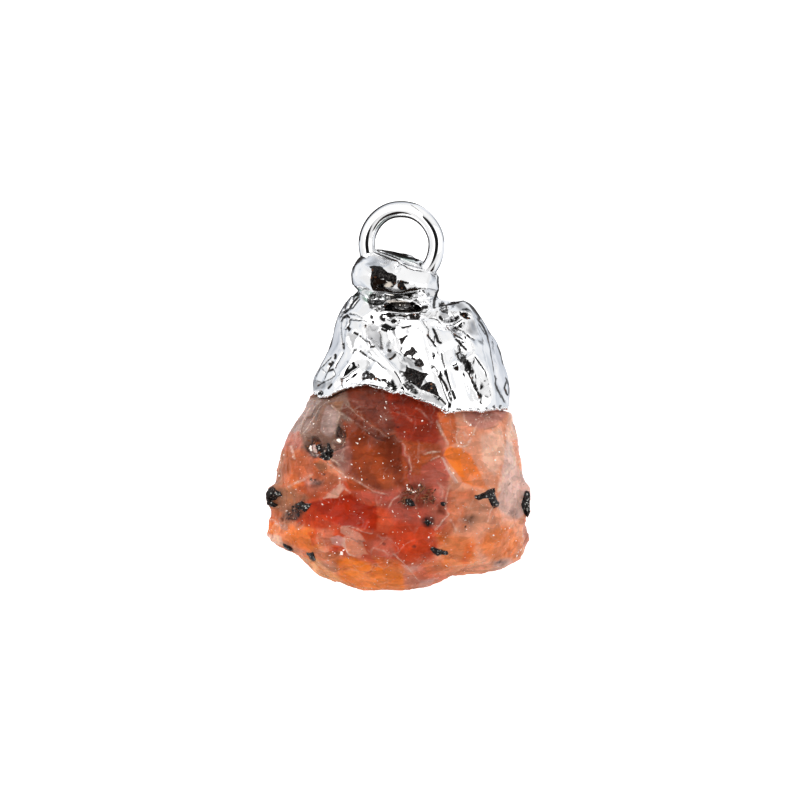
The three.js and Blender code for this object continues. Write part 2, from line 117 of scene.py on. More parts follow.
# Patches of colour on the front, broad ones first: colour, soft edge, share, outline
PATCHES = [
    ("red", 0.5, 0.8, (300,500, 345,480, 400,492, 452,520, 440,560, 380,566, 325,548)),
    ("peach", 0.6, 0.95, (438,408, 512,402, 530,470, 534,550, 500,578, 436,562, 428,500)),
    # partly the stone's dark colour and partly painted shade under the cap's rim
    ("window brown", 0.4, 0.9, (330,380, 400,374, 450,388, 446,436, 410,450, 345,440, 330,410)),
    ("rose", 0.4, 0.8, (398,438, 446,436, 450,500, 446,530, 400,530, 376,492)),
    ("tan", 0.5, 0.9, (258,500, 266,440, 306,392, 324,396, 306,440, 290,470, 286,500)),
    ("veil brown", 0.25, 0.95, (304,396, 330,384, 350,386, 352,420, 347,440, 347,474, 330,460, 322,452,
        300,450, 282,446, 282,432, 294,418)),
    ("pale veil", 0.15, 0.6, (308,398, 326,398, 316,408, 306,420, 296,436, 284,442, 286,430, 298,412)),
    ("pink", 0.2, 0.7, (282,436, 300,430, 304,446, 292,452, 280,450)),
    ("veil", 0.1, 0.9, (329,406, 334,410, 340,414, 338,421, 335,431, 331,437, 326,436, 320,430, 323,419,
        326,411)),
    ("lilac", 0.15, 0.35, (330,414, 337,416, 335,430, 330,434, 327,424)),
    ("veil", 0.12, 0.7, (308,420, 314,418, 314,428, 306,436, 302,434)),
    ("olive brown", 0.08, 0.9, (328,403, 344,402, 340,413, 333,406)),
    # partly the stone's dark colour and partly painted shade under the cap's rim
    ("umber", 0.25, 0.92, (342,378, 404,378, 408,428, 386,434, 350,404)),
    ("mauve", 0.35, 0.15, (350,398, 392,398, 398,420, 384,428, 362,412)),
    ("umber", 0.08, 0.75, (341,412, 345,405, 360,417, 353,421)),
    ("blood", 0.3, 0.95, (386,392, 406,384, 440,394, 446,414, 436,424, 440,440, 430,450, 408,446, 396,434)),
    ("window brown", 0.4, 1.0, (342,420, 384,438, 404,441, 409,460, 404,486, 378,493, 346,474, 345,440)),
    ("umber", 0.25, 0.75, (388,438, 404,440, 404,462, 396,474, 386,456)),
    ("burnt orange", 0.4, 0.6, (354,446, 372,442, 384,462, 384,484, 364,482, 352,466)),
    ("orange", 0.3, 0.3, (376,476, 392,474, 396,486, 384,490)),
    ("umber", 0.12, 0.8, (352,419, 362,421, 384,434, 388,441, 374,436, 358,429)),
    ("umber", 0.06, 0.8, (368,431, 386,438, 395,436, 388,442, 376,439)),
    ("mauve", 0.3, 0.55, (332,452, 340,447, 349,441, 352,452, 350,472, 341,470, 333,459)),
    ("umber", 0.05, 0.6, (333,462, 339,464, 338,467, 334,464)),
    ("copper", 0.3, 0.7, (282,450, 304,449, 320,462, 330,470, 322,478, 300,482, 282,490, 274,474)),
    ("copper", 0.4, 0.8, (290,456, 304,452, 312,464, 306,476, 292,474)),
    ("tan", 0.12, 0.8, (274,462, 284,450, 286,452, 281,470, 283,486, 274,486)),
    ("olive brown", 0.12, 0.75, (319,460, 328,463, 328,468, 322,474, 314,464)),
    ("burnt orange", 0.15, 0.6, (318,470, 338,474, 340,484, 322,484, 312,478)),
    ("burnt orange", 0.2, 0.8, (300,486, 340,480, 324,497, 302,500, 290,492)),
    ("burnt orange", 0.1, 0.8, (346,476, 374,488, 384,494, 364,492, 350,488)),
    ("olive brown", 0.3, 0.7, (266,492, 292,488, 312,498, 300,508, 284,520, 264,516)),
    ("rose", 0.25, 0.7, (352,491, 376,490, 400,496, 408,504, 412,522, 398,518, 376,502, 360,500)),
    ("deep red", 0.15, 0.95, (310,503, 324,499, 340,497, 350,493, 362,503, 376,506, 378,516, 376,530,
        356,527, 340,525, 322,520, 306,520)),
    ("cream", 0.05, 0.7, (342,483, 345,488, 341,493, 338,497, 330,498, 324,499)),
    ("red", 0.3, 0.8, (296,522, 312,506, 336,524, 320,530)),
    ("orange", 0.2, 0.6, (266,508, 282,512, 284,524, 268,520)),
    ("bright orange", 0.3, 0.7, (266,522, 290,526, 312,532, 322,545, 310,552, 298,546, 282,542, 264,536)),
    ("cream", 0.2, 0.85, (264,532, 280,536, 284,545, 266,544)),
    ("red", 0.15, 0.6, (308,532, 318,530, 322,542, 312,546)),
    ("peach", 0.2, 0.4, (318,528, 334,530, 334,550, 322,552, 316,540)),
    ("peach", 0.08, 0.7, (344,536, 355,539, 363,543, 366,549, 369,554, 364,554, 360,557, 352,556, 347,551,
        341,546)),
    ("cream", 0.05, 0.45, (340,526, 347,526, 354,529, 360,533, 367,541, 361,541, 353,538, 346,535,
        341,532)),
    ("lilac", 0.08, 0.5, (330,538, 338,535, 346,538, 346,548, 352,555, 342,546, 332,543)),
    ("deep red", 0.06, 0.6, (330,545, 338,547, 338,554, 330,552)),
    ("red", 0.35, 0.75, (398,520, 440,528, 444,540, 428,556, 400,552, 384,540)),
    ("pink", 0.3, 0.5, (366,540, 392,536, 396,556, 372,558)),
    ("bright orange", 0.25, 0.6, (372,556, 400,560, 404,572, 380,570)),
    ("pale orange", 0.2, 0.85, (298,556, 318,558, 332,572, 352,588, 340,596, 318,590, 296,568)),
    ("window orange", 0.3, 0.85, (336,562, 352,556, 376,566, 404,573, 412,592, 385,600, 356,596, 340,578)),
    ("smoke", 0.35, 0.35, (322,562, 336,562, 340,570, 330,574)),
    ("pink", 0.2, 0.7, (404,574, 424,580, 440,576, 456,572, 438,598, 404,598)),
    ("lilac", 0.15, 0.4, (420,582, 434,578, 430,594, 418,594)),
    ("orange", 0.25, 0.6, (420,562, 446,556, 450,570, 428,574)),
    ("peach", 0.3, 0.8, (478,424, 500,412, 508,440, 508,462, 498,478, 490,488, 480,470, 470,450)),
    ("cream", 0.3, 0.7, (480,436, 502,428, 507,456, 494,476, 482,462)),
    ("mauve", 0.25, 0.85, (456,406, 510,402, 504,418, 492,428, 478,430, 466,424)),
    ("burnt orange", 0.25, 0.95, (402,440, 430,444, 442,450, 440,460, 420,480, 408,486, 402,470)),
    ("burnt orange", 0.2, 0.6, (424,446, 440,444, 444,456, 420,470)),
    ("orange", 0.15, 0.9, (437,414, 454,410, 457,432, 457,442, 449,447, 444,438)),
    ("rose", 0.15, 0.8, (421,466, 434,459, 442,458, 450,472, 448,480, 434,484, 420,480)),
    ("orange", 0.1, 0.4, (418,466, 420,458, 426,454, 441,452, 442,457, 433,459, 425,464)),
    ("bright orange", 0.12, 0.9, (455,448, 469,453, 476,467, 484,482, 487,489, 472,486, 462,482, 455,466)),
    ("window orange", 0.08, 0.95, (443,455, 446,449, 450,447, 462,448, 460,462, 464,478, 458,476, 449,463)),
    ("peach", 0.3, 0.4, (466,474, 482,476, 487,489, 472,486)),
    ("lilac", 0.05, 0.5, (441,456, 443,458, 450,470, 458,483, 455,483, 446,470)),
    ("rose", 0.08, 0.85, (402,443, 405,447, 405,455, 410,457, 412,468, 412,484, 408,478, 409,470, 407,458,
        402,455)),
    ("rose", 0.25, 0.65, (414,474, 440,484, 444,500, 436,506, 420,494, 410,484)),
    ("orange", 0.3, 0.6, (446,490, 474,490, 480,506, 462,530, 448,516)),
    ("tan", 0.3, 0.6, (466,500, 486,500, 488,520, 474,530, 464,520)),
    ("bright orange", 0.4, 0.7, (488,528, 512,524, 520,540, 512,558, 488,560, 478,545)),
    ("bright orange", 0.4, 0.6, (436,532, 474,538, 476,562, 444,568)),
    ("burnt orange", 0.25, 0.7, (439,531, 451,517, 456,522, 453,531, 446,537, 440,536)),
    ("flame", 0.25, 0.6, (466,543, 476,543, 470,556, 466,568, 460,560)),
    ("lilac", 0.2, 0.75, (508,466, 514,464, 523,472, 530,488, 530,510, 516,522, 502,520, 497,505, 499,484)),
    ("cream", 0.15, 0.8, (508,410, 518,420, 522,440, 520,462, 508,462, 506,436)),
    ("orange", 0.08, 0.6, (511,441, 517,437, 522,455, 515,463)),
    ("lilac", 0.12, 0.7, (506,440, 510,442, 515,464, 505,474, 500,480, 503,462)),
    ("peach", 0.2, 0.6, (492,508, 520,520, 522,545, 512,530, 496,522)),
    ("mauve", 0.1, 0.6, (523,520, 536,530, 534,548, 523,556)),
    ("lilac", 0.2, 0.6, (494,562, 508,558, 512,566, 500,576, 490,574)),
    ("umber", 0.4, 0.7, (403,486, 416,482, 430,487, 437,503, 424,507, 404,507, 398,496)),
    ("umber", 0.2, 0.8, (436,504, 446,506, 444,514, 438,511)),
    ("dark rust", 0.06, 0.8, (310,441, 314,437, 319,437, 322,444, 322,452, 318,457, 311,456, 306,451,
        307,445)),
    ("amber", 0.05, 0.9, (313.5,442, 318,441, 319,447, 318,452, 314,452)),
    ("pale veil", 0.05, 0.9, (307,450, 310,453, 317,454, 315,456.5, 309,455)),
    ("lilac", 0.03, 1.0, (309,444, 314,444, 314.5,452, 310,452)),
    ("dark rust", 0.05, 1.0, (336,428, 338,425, 342,428, 346,432, 346,437, 342,438, 336,438)),
    ("amber", 0.03, 0.7, (340,427, 341,427, 344.5,434, 344,436, 342,433)),
    ("rust", 0.06, 0.7, (334,444, 345,443, 345,447, 336,449)),
    ("veil", 0.08, 0.6, (281,525, 287,524, 288,530, 282,530)),
]

# Edges of cleavage plates, their pale edges partly painted highlights: height of the left side, or of the
# right one if below zero, how far it runs out, paleness of the edge, half width, line
LEDGES = [
    (0.10, 0.9, 0.9, 0.035, (328,463, 335,468, 343,474, 346,477)),
    (0.08, 0.9, 0.4, 0.035, (346,477, 352,478, 360,483, 366,486, 374,491, 382,493, 392,495)),
    (0.05, 0.5, 0.75, 0.03, (331,459, 338,463, 341,466)),
    (0.07, 0.6, 0.75, 0.03, (331,406, 335,409, 341,414)),
    (0.06, 0.5, 0.35, 0.03, (341,414, 346,417, 355,423)),
    (-0.05, 0.35, 0.8, 0.03, (341,414, 338,420, 337,428, 334,434)),
    (-0.06, 0.5, 0.4, 0.03, (345,405, 352,410, 358,416, 366,421)),
    (-0.05, 0.5, 0.25, 0.03, (366,421, 374,427, 383,434, 388,438)),
    (0.05, 0.4, 0.15, 0.04, (355,423, 366,430, 378,436)),
    (0.09, 0.5, 0.6, 0.04, (326,403, 320,409, 316,417, 310,428, 303,436)),
    (0.05, 0.4, 0.5, 0.05, (312,408, 306,416, 302,428, 300,436)),
    (0.04, 0.3, 0.4, 0.05, (322,402, 317,406, 313,410)),
    (0.06, 0.3, 0.85, 0.03, (323,499, 330,493, 337,487, 342,483)),
    (-0.04, 0.3, 0.5, 0.04, (342,483, 347,489, 352,493)),
    (0.05, 0.3, 0.5, 0.03, (340,478, 341,483)),
    (0.05, 0.4, 0.55, 0.05, (288,488, 299,482, 308,477, 314,474)),
    (-0.06, 0.4, 0.6, 0.05, (290,445, 293,452, 295,460)),
    (-0.08, 0.5, 0.7, 0.035, (269,519, 275,521, 280,526)),
    (0.08, 0.5, 0.6, 0.035, (392,552, 400,559, 408,566, 413,574, 420,582)),
    (0.04, 0.3, 0.5, 0.04, (401,564, 406,567, 410,569)),
    (0.06, 0.4, 0.7, 0.04, (423,455, 428,453, 434,452, 441,451)),
    (0.03, 0.3, 0.6, 0.035, (430,461, 435,458, 440,456)),
    (-0.10, 0.4, 0.65, 0.04, (441,457, 446,465, 451,473, 457,483)),
    (0.05, 0.4, 0.5, 0.05, (436,420, 440,430, 444,438, 448,446)),
    (0.10, 0.4, 0.55, 0.05, (402,443, 405,447, 405,455, 409,457, 410,463, 412,472)),
    (0.08, 0.6, 0.9, 0.06, (509,440, 511,450, 514,461, 510,468, 503,476, 499,484, 497,494)),
    (0.05, 0.4, 0.5, 0.04, (512,440, 517,437)),
    (-0.06, 0.5, 0.5, 0.04, (449,484, 446,495, 445,507, 448,516)),
    (0.05, 0.3, 0.55, 0.04, (434,530, 440,524, 444,518, 449,512)),
    (0.04, 0.3, 0.5, 0.04, (449,518, 453,524, 456,531)),
    (-0.05, 0.3, 1.0, 0.07, (457,430, 456,438, 458,446, 463,447, 468,444, 472,437)),
    (0.04, 0.3, 1.0, 0.06, (463,431, 466,435, 469,437)),
    (0.04, 0.3, 0.55, 0.04, (472,437, 474,430, 479,420)),
    (0.03, 0.3, 0.8, 0.05, (463,412, 464,420, 469,426)),
    (0.05, 0.35, 0.5, 0.04, (487,523, 489,513, 492,506)),
    (0.05, 0.35, 0.45, 0.03, (341,526, 348,526, 356,528, 363,531, 374,533)),
    (0.05, 0.3, 0.5, 0.03, (344,536, 355,539, 363,543)),
    (0.04, 0.3, 0.6, 0.05, (345,548, 350,554, 356,556)),
    (0.04, 0.3, 0.4, 0.04, (390,555, 384,550, 372,547)),
    (0.05, 0.4, 0.25, 0.04, (415,408, 422,412, 428,420, 433,424)),
    (0.04, 0.3, 0.2, 0.05, (395,412, 404,415, 413,421)),
    (-0.05, 0.3, 0.4, 0.05, (522,527, 524,540, 522,556, 519,562)),
    (0.04, 0.3, 0.35, 0.04, (400,494, 393,500, 388,508)),
    (-0.05, 0.3, 0.35, 0.04, (476,562, 452,566, 432,575)),
    (0.03, 0.3, 0.4, 0.04, (443,486, 442,494, 441,499)),
]

# Dark cracks and rims of hollows: darkness, half width, line
CRACKS = [
    (0.9, 0.03, (305,446, 306,450, 309,455, 314,458, 319,457)),
    (0.6, 0.03, (310,442, 313,438, 318,436)),
    (0.8, 0.04, (335,450, 341,448, 346,446)),
    (0.9, 0.045, (336,438, 336,431, 338,426, 341,429, 342,435)),
    (0.8, 0.04, (342,430, 345,432, 346,437, 343,441)),
    (0.8, 0.05, (313,456, 310,452, 308,447, 310,443, 313,441)),
    (0.7, 0.03, (336,444, 341,444, 344,440)),
    (0.6, 0.03, (338,424, 337,428)),
    (0.7, 0.03, (367,420, 371,424)),
    (0.75, 0.03, (366,432, 373,437, 379,439, 385,441)),
    (0.6, 0.03, (386,438, 390,437, 395,435)),
    (0.6, 0.03, (318,404, 314,412, 311,422)),
    (0.5, 0.06, (324,404, 320,412, 317,420)),
    (0.6, 0.04, (326,460, 330,464)),
    (0.6, 0.03, (395,426, 399,428)),
    (0.4, 0.04, (404,458, 408,464, 409,474)),
    (0.5, 0.03, (352,537, 358,540, 364,541)),
    (0.4, 0.04, (484,430, 492,428, 499,424)),
]

# Smooth broken faces, where the fine roughness fades: soft edge, share, outline
SMOOTH_FACES = [
    (0.2, 0.9, (350,440, 376,436, 402,440, 402,484, 378,490, 348,472)),
    (0.15, 0.9, (443,452, 466,448, 486,486, 458,482)),
    (0.15, 0.8, (420,466, 438,458, 448,478, 424,482)),
    (0.2, 0.7, (316,504, 350,496, 390,520, 366,530, 330,522)),
    (0.2, 0.7, (326,406, 337,414, 332,434, 320,440)),
    (0.3, 0.6, (288,456, 314,458, 320,474, 292,482)),
]

# Milky parts with pale streaks: soft edge, share, outline
MILKY = [
    (0.4, 0.75, (292,395, 345,400, 347,470, 318,452, 286,440)),
    (0.3, 0.55, (380,400, 402,404, 408,440, 396,446, 384,430)),
    (0.3, 0.6, (404,444, 440,450, 452,486, 440,506, 408,486)),
    (0.4, 0.5, (452,410, 506,406, 500,430, 474,442, 458,440)),
    (0.4, 0.7, (506,446, 528,470, 532,530, 508,530, 496,500)),
    (0.3, 0.5, (350,490, 404,494, 412,524, 378,510)),
    (0.4, 0.5, (312,528, 340,520, 372,548, 352,562, 318,556)),
    (0.4, 0.45, (400,570, 440,566, 446,580, 412,592)),
    (0.3, 0.45, (448,490, 484,500, 490,530, 452,530)),
]

# Small hollows where grains fell out: depth, middle, radii, turn
HOLLOWS = [
    (0.22, (313, 448), (0.4, 0.48), -15),
    (0.18, (341, 434), (0.3, 0.5), 10),
    (0.14, (326, 452), (0.4, 0.3), -40),
    (0.1, (464, 438), (0.42, 0.4), 0),
    (0.12, (410, 492), (0.4, 0.3), 0),
    (0.08, (341, 552), (0.3, 0.3), 0),
]

# Stains under the surface: darkness, soft edge, middle, radii, turn
STAINS = [
    (1.0, 0.3, (294, 515), (0.62, 0.3), 32),
    (0.75, 0.25, (317, 484), (0.3, 0.17), 0),
    (0.85, 0.06, (311, 479), (0.1, 0.06), 20),
    (0.85, 0.06, (316, 480), (0.08, 0.06), 0),
    (0.85, 0.06, (324, 474), (0.08, 0.05), 0),
    (0.85, 0.25, (428, 521), (0.36, 0.3), 10),
    (0.6, 0.25, (470, 518), (0.38, 0.2), 10),
    (0.85, 0.05, (465, 526), (0.06, 0.06), 0),
    (0.55, 0.3, (514, 513), (0.2, 0.26), 0),
    (0.65, 0.25, (499, 562), (0.36, 0.14), 5),
    (0.9, 0.1, (409, 502), (0.3, 0.16), -20),
    (0.85, 0.12, (443, 503), (0.16, 0.1), 0),
    (0.85, 0.06, (384, 543), (0.09, 0.06), -20),
    (0.7, 0.08, (414, 546), (0.1, 0.08), 0),
    (0.8, 0.05, (398, 427), (0.09, 0.04), 0),
    (0.85, 0.05, (508, 484), (0.09, 0.04), 50),
    (0.5, 0.08, (398, 459), (0.05, 0.04), 0),
    (0.5, 0.3, (396, 402), (0.7, 0.14), 0),
    (0.9, 0.1, (326, 452), (0.36, 0.24), -40),
    (0.5, 0.1, (510, 512), (0.1, 0.1), 0),
]

# Black crystals: how far they stand out and their outline
CRYSTALS = [
    (0.12, (266,499, 266,493, 269,489, 273,486, 276,490, 281,492, 282,496, 278,497, 276,500, 270,501)),
    (0.10, (266,499, 270,501, 274,503, 278,505, 275,507, 271,507, 267,505)),
    (0.10, (291,507, 295,505, 299,503, 302,501, 306,503, 312,503, 310,506, 308,510, 305,512, 302,509,
        296,508)),
    (0.10, (283,543, 287,545, 291,548, 293,551, 289,551, 285,548)),
    (0.10, (306,553, 310,553, 313,552, 315,556, 316,560, 313,561, 309,557)),
    (0.10, (474,495, 480,494, 484,492, 489,489, 494,488, 495,491, 492,496, 488,498, 482,498, 478,500,
        475,498)),
    (0.10, (489,494, 494,492, 496,499, 499,503, 498,506, 493,508, 490,504, 488,499)),
    (0.14, (522,502, 524,495, 525,491, 529,492, 530,502, 530,512, 528,518, 525,515, 523,511, 521,505)),
    (0.08, (430,549, 432,546, 436,548, 442,550, 447,551, 448,554, 445,555, 440,554, 437,555, 433,552)),
    (0.10, (319,455, 323,452, 328,450.5, 333,449, 334,451, 329,453, 324,456, 320,458)),
    (0.12, (327.5,443, 330,444, 331,449, 331.5,454, 330,459, 327.5,457, 328,450)),
    (0.09, (321,458, 323,454, 326,452, 328,455, 331,457, 330,460, 326,460.5)),
    (0.05, (316,446, 320,444, 321,451, 318,453)),
    (0.06, (405,499, 409,498, 413,501, 415,505, 411,506, 407,504)),
    (0.05, (440,502, 443,501, 445,503, 444,506, 441,505)),
    (0.04, (310,478, 313,479, 312,481)),
    (0.04, (424,521, 428,519, 431,522, 428,526)),
]

# Bright grains in the surface, set where glints show, so partly painted highlights: x, y, half length, half
# width, turn
BRIGHT_GRAINS_AND_GLINTS = [
    (312, 448, 0.22, 0.17, 95),
    (339, 441, 0.15, 0.13, 50),
    (329, 446, 0.07, 0.05, 60), (324, 454, 0.06, 0.04, 80), (327, 458, 0.06, 0.05, 0),
    (331, 449, 0.05, 0.04, 0),
    (311, 422, 0.05, 0.05, 0), (314, 424, 0.05, 0.05, 0), (357, 443, 0.12, 0.06, -45),
    (360, 439, 0.07, 0.05, 30),
    (352, 464, 0.06, 0.05, -40), (340, 478, 0.06, 0.05, 0), (362, 479, 0.07, 0.06, 0),
    (346, 477, 0.06, 0.05, 0),
    (353, 478, 0.06, 0.04, 0), (323, 504, 0.08, 0.05, -30), (287, 511, 0.08, 0.05, 20),
    (317, 516, 0.07, 0.05, -40),
    (299, 529, 0.05, 0.04, 0), (344, 499, 0.05, 0.04, 0), (358, 500, 0.05, 0.04, -30),
    (360, 517, 0.05, 0.04, 0),
    (342, 553, 0.15, 0.12, 60), (344, 549, 0.09, 0.08, 0), (330, 555, 0.09, 0.04, 20),
    (335, 553, 0.05, 0.05, 0),
    (333, 551, 0.04, 0.04, 0), (337, 542, 0.07, 0.06, 0), (387, 562, 0.06, 0.05, 0),
    (393, 511, 0.09, 0.06, -60),
    (419, 516, 0.12, 0.04, -35), (431, 517, 0.07, 0.05, -60), (429, 537, 0.1, 0.06, -8),
    (493, 535, 0.07, 0.05, 0),
    (488, 528, 0.06, 0.05, 0), (505, 529, 0.05, 0.05, 0), (509, 528, 0.05, 0.04, 0),
    (470, 425, 0.09, 0.07, 0),
    (466, 422, 0.06, 0.04, -50), (505, 435, 0.12, 0.05, -75), (495, 460, 0.08, 0.06, -40),
    (499, 452, 0.05, 0.05, 0),
    (422, 421, 0.07, 0.05, 0), (407, 485, 0.07, 0.05, 60), (419, 485, 0.09, 0.06, 40),
    (386, 402, 0.05, 0.05, 0),
    (385, 408, 0.09, 0.05, -50), (381, 417, 0.09, 0.04, -60), (386, 420, 0.06, 0.04, 0),
    (476, 497, 0.05, 0.05, 0),
    (466, 529, 0.06, 0.04, 0), (412, 563, 0.1, 0.05, 10), (446, 565, 0.05, 0.04, 0),
    (416, 428, 0.04, 0.04, 0),
    (516, 541, 0.05, 0.04, 40), (517, 556, 0.09, 0.04, 70), (521, 550, 0.1, 0.04, 75),
    (388, 434, 0.05, 0.04, 0),
    (461, 443, 0.08, 0.06, -60), (458, 446, 0.07, 0.06, 0), (469, 435, 0.07, 0.05, 40),
    (471, 433, 0.05, 0.05, 0),
    (453, 473, 0.09, 0.04, -60), (449, 468, 0.07, 0.03, -60), (394, 478, 0.05, 0.04, -40),
    (384, 478, 0.06, 0.04, 20),
    (360, 468, 0.06, 0.05, 0), (383, 463, 0.04, 0.04, 0), (391, 461, 0.05, 0.03, 20),
    (400, 470, 0.04, 0.04, 0),
    (291, 493, 0.05, 0.04, 0), (279, 476, 0.06, 0.04, 80), (284, 455, 0.07, 0.05, 60),
    (329, 401, 0.05, 0.04, 0),
]

# Pale crumbs and brown needles of the rusty clusters: middle, half widths of the spread, how many
CRUMBS = ((412, 490), (0.3, 0.16), 8)
NEEDLES = [
    ((418, 495), (0.75, 0.5), 34), ((430, 493), (0.2, 0.4), 8),
    ((403, 497), (0.2, 0.3), 6), ((313, 447), (0.28, 0.3), 7),
]

# The cap

# Broad folds and ridges of the plated skin: height, half width, line
FOLDS = [
    (0.10, 0.14, (352,362, 342,374, 332,390)),
    (0.14, 0.17, (368,256, 361,261, 356,268, 355,275, 356,283, 360,290)),
    (0.10, 0.16, (361,322, 368,340, 381,356, 396,373, 404,389)),
    (0.08, 0.14, (424,330, 432,360, 441,384, 448,402)),
    (0.10, 0.20, (449,345, 458,370, 467,400)),
    (0.10, 0.22, (479,338, 486,370, 493,402)),
    (0.07, 0.10, (366,352, 378,362, 392,372)),
    (0.08, 0.12, (344,320, 345,336, 350,350)),
    (0.06, 0.12, (392,330, 398,350, 404,366)),
    (-0.05, 0.12, (447,313, 455,335, 463,353, 468,370, 474,385, 481,407)),
    (-0.10, 0.10, (489,322, 493,350, 497,376, 507,404)),
    (-0.04, 0.10, (438,300, 446,312, 456,326, 472,350)),
    (-0.08, 0.10, (336,355, 325,372, 317,386)),
    (-0.08, 0.10, (346,316, 342,352, 335,366)),
    (-0.08, 0.10, (383,318, 392,323, 404,326, 412,325)),
    (-0.08, 0.10, (392,268, 402,262, 430,268)),
]

# Creases, sunk into the skin with painted shade along them: how dark, half width, line
CREASES = [
    (0.6, 0.03, (352,293, 347,299, 345,308, 341,316)),
    (0.5, 0.03, (354,294, 352,301, 350,304)),
    (0.95, 0.05, (358,297, 353,302, 349,308, 344,314)),
    (0.6, 0.03, (359,299, 355,304, 352,309)),
    (0.6, 0.03, (341,317, 342,312, 346,309, 349,307)),
    (0.9, 0.04, (341,322, 343,318, 347,315, 350,318)),
    (0.5, 0.03, (341,322, 341,335, 342,348)),
    (0.8, 0.06, (342,343, 343,350)),
    (0.6, 0.04, (343,352, 339,358, 336,364, 335,369)),
    (0.95, 0.05, (335,354, 334,359)),
    (0.6, 0.03, (332,356, 327,361, 323,366, 320,368, 316,375, 314,380)),
    (0.8, 0.035, (332,360, 330,364, 328,368, 327,372, 324,380)),
    (0.95, 0.06, (328,365, 332,361)),
    (0.95, 0.05, (327,372, 331,370, 333,369)),
    (0.5, 0.03, (321,368, 325,373)),
    (0.6, 0.03, (333,369, 335,376, 331,379, 324,382)),
    (0.9, 0.04, (325,382, 320,384, 317,386)),
    (0.5, 0.03, (313,380, 319,382, 324,381)),
    (0.95, 0.05, (333,384, 328,389)),
    (0.5, 0.03, (348,318, 354,320, 361,320, 367,322, 371,324)),
    (0.5, 0.03, (348,313, 356,315, 362,318, 369,322)),
    (0.7, 0.03, (350,318, 350,324, 348,327)),
    (0.95, 0.07, (347,327, 350,330)),
    (0.95, 0.045, (353,332, 358,335)),
    (0.75, 0.03, (358,335, 362,338, 366,342, 370,343, 371,347)),
    (0.95, 0.06, (365,326, 367,326)),
    (0.95, 0.06, (372,316, 371,319)),
    (0.9, 0.05, (372,322, 374,323)),
    (0.4, 0.03, (367,327, 366,338, 367,342)),
    (0.9, 0.04, (370,348, 375,348)),
    (0.55, 0.04, (379,331, 381,335, 382,350)),
    (0.85, 0.04, (381,329, 385,331, 388,332)),
    (0.95, 0.08, (380,317, 383,320, 385,321)),
    (0.95, 0.08, (391,323, 394,321, 396,323)),
    (0.95, 0.045, (401,328, 406,327, 411,326)),
    (0.95, 0.06, (387,350, 391,351)),
    (0.95, 0.05, (389,360, 393,358, 396,354)),
    (0.6, 0.03, (395,351, 398,353, 402,357)),
    (0.7, 0.04, (352,354, 354,351, 358,350)),
    (0.8, 0.05, (360,351, 363,354, 367,357)),
    (0.55, 0.05, (367,357, 372,360, 377,363, 382,367, 387,371)),
    (0.5, 0.03, (359,365, 358,369, 352,373, 348,377, 343,380, 342,384)),
    (0.7, 0.04, (339,376, 341,374)),
    (0.6, 0.04, (342,378, 341,384, 343,389)),
    (0.9, 0.05, (403,384, 406,388, 409,391)),
    (0.6, 0.03, (402,345, 401,351, 403,354)),
    (0.95, 0.055, (432,328, 436,335, 438,341, 441,344)),
    (0.9, 0.05, (427,334, 429,338, 433,342, 436,347)),
    (0.7, 0.03, (435,335, 434,343, 436,347)),
    (0.5, 0.03, (414,325, 418,329, 423,333)),
    (0.55, 0.04, (421,319, 424,324, 428,330, 428,335)),
    (0.6, 0.03, (428,318, 434,319, 438,321, 441,326)),
    (0.75, 0.035, (441,353, 442,359, 444,365, 444,369)),
    (0.7, 0.03, (430,369, 434,367, 437,371, 438,376)),
    (0.95, 0.055, (438,376, 441,379, 444,384, 446,388, 448,392)),
    (0.7, 0.035, (448,393, 449,398, 451,402)),
    (0.9, 0.045, (451,390, 453,395, 455,400)),
    (0.95, 0.07, (439,316, 441,319, 443,321)),
    (0.6, 0.035, (445,325, 450,330, 454,334, 455,338)),
    (0.9, 0.055, (455,338, 458,342, 462,346, 467,351)),
    (0.85, 0.045, (459,346, 460,352, 457,354, 458,359, 462,364)),
    (0.6, 0.03, (451,328, 458,329, 463,331, 468,336, 475,340)),
    (0.8, 0.04, (453,332, 458,337, 463,340)),
    (0.8, 0.035, (467,334, 471,338)),
    (0.3, 0.03, (471,344, 474,350)),
    (0.9, 0.045, (477,317, 481,322, 485,329, 488,337, 490,344, 491,352, 493,362, 495,375)),
    (0.6, 0.03, (479,323, 483,330, 486,335)),
    (0.85, 0.07, (495,375, 497,379, 496,384, 498,391, 502,396, 506,403)),
    (0.8, 0.04, (450,303, 453,299, 460,299, 467,302, 474,308, 479,315, 481,321)),
    (0.9, 0.045, (498,345, 501,353, 504,365)),
    (0.7, 0.04, (505,377, 508,382, 510,388, 510,395)),
    (0.85, 0.04, (507,381, 505,388, 507,394, 509,396)),
    (0.9, 0.055, (439,290, 436,297, 434,303, 434,309)),
    (0.8, 0.04, (438,275, 438,283, 439,289)),
    (0.8, 0.045, (440,399, 443,402, 446,405)),
    (0.5, 0.03, (416,303, 424,302, 430,305)),
    (0.9, 0.05, (411,302, 415,305)),
    (0.95, 0.055, (418,309, 424,307, 428,307)),
    (0.85, 0.05, (420,310, 426,313)),
    (0.6, 0.03, (367,251, 361,257, 355,266, 353,277, 354,286, 358,292, 364,297)),
    (0.65, 0.03, (372,251, 380,254, 387,257, 395,260, 402,264, 408,268, 414,270, 427,272)),
    (0.4, 0.03, (376,250, 390,255, 400,259, 410,263, 425,268)),
    (0.9, 0.05, (392,252, 400,254, 408,257, 415,258, 417,261)),
    (0.85, 0.05, (421,264, 424,266, 428,265)),
    (0.3, 0.03, (397,262, 400,267, 398,272, 395,273)),
    (0.85, 0.05, (390,299, 397,298, 403,298)),
    (0.5, 0.03, (403,298, 410,300, 420,302)),
    (0.6, 0.045, (354,384, 370,386, 383,388, 388,391, 394,392, 399,388)),
    (0.8, 0.05, (469,408, 471,411)), (0.8, 0.05, (486,408, 487,411)), (0.7, 0.06, (493,406, 495,410)),
    (0.7, 0.05, (478,409, 479,411)), (0.7, 0.06, (501,405, 500,409)), (0.7, 0.05, (456,409, 460,411)),
]
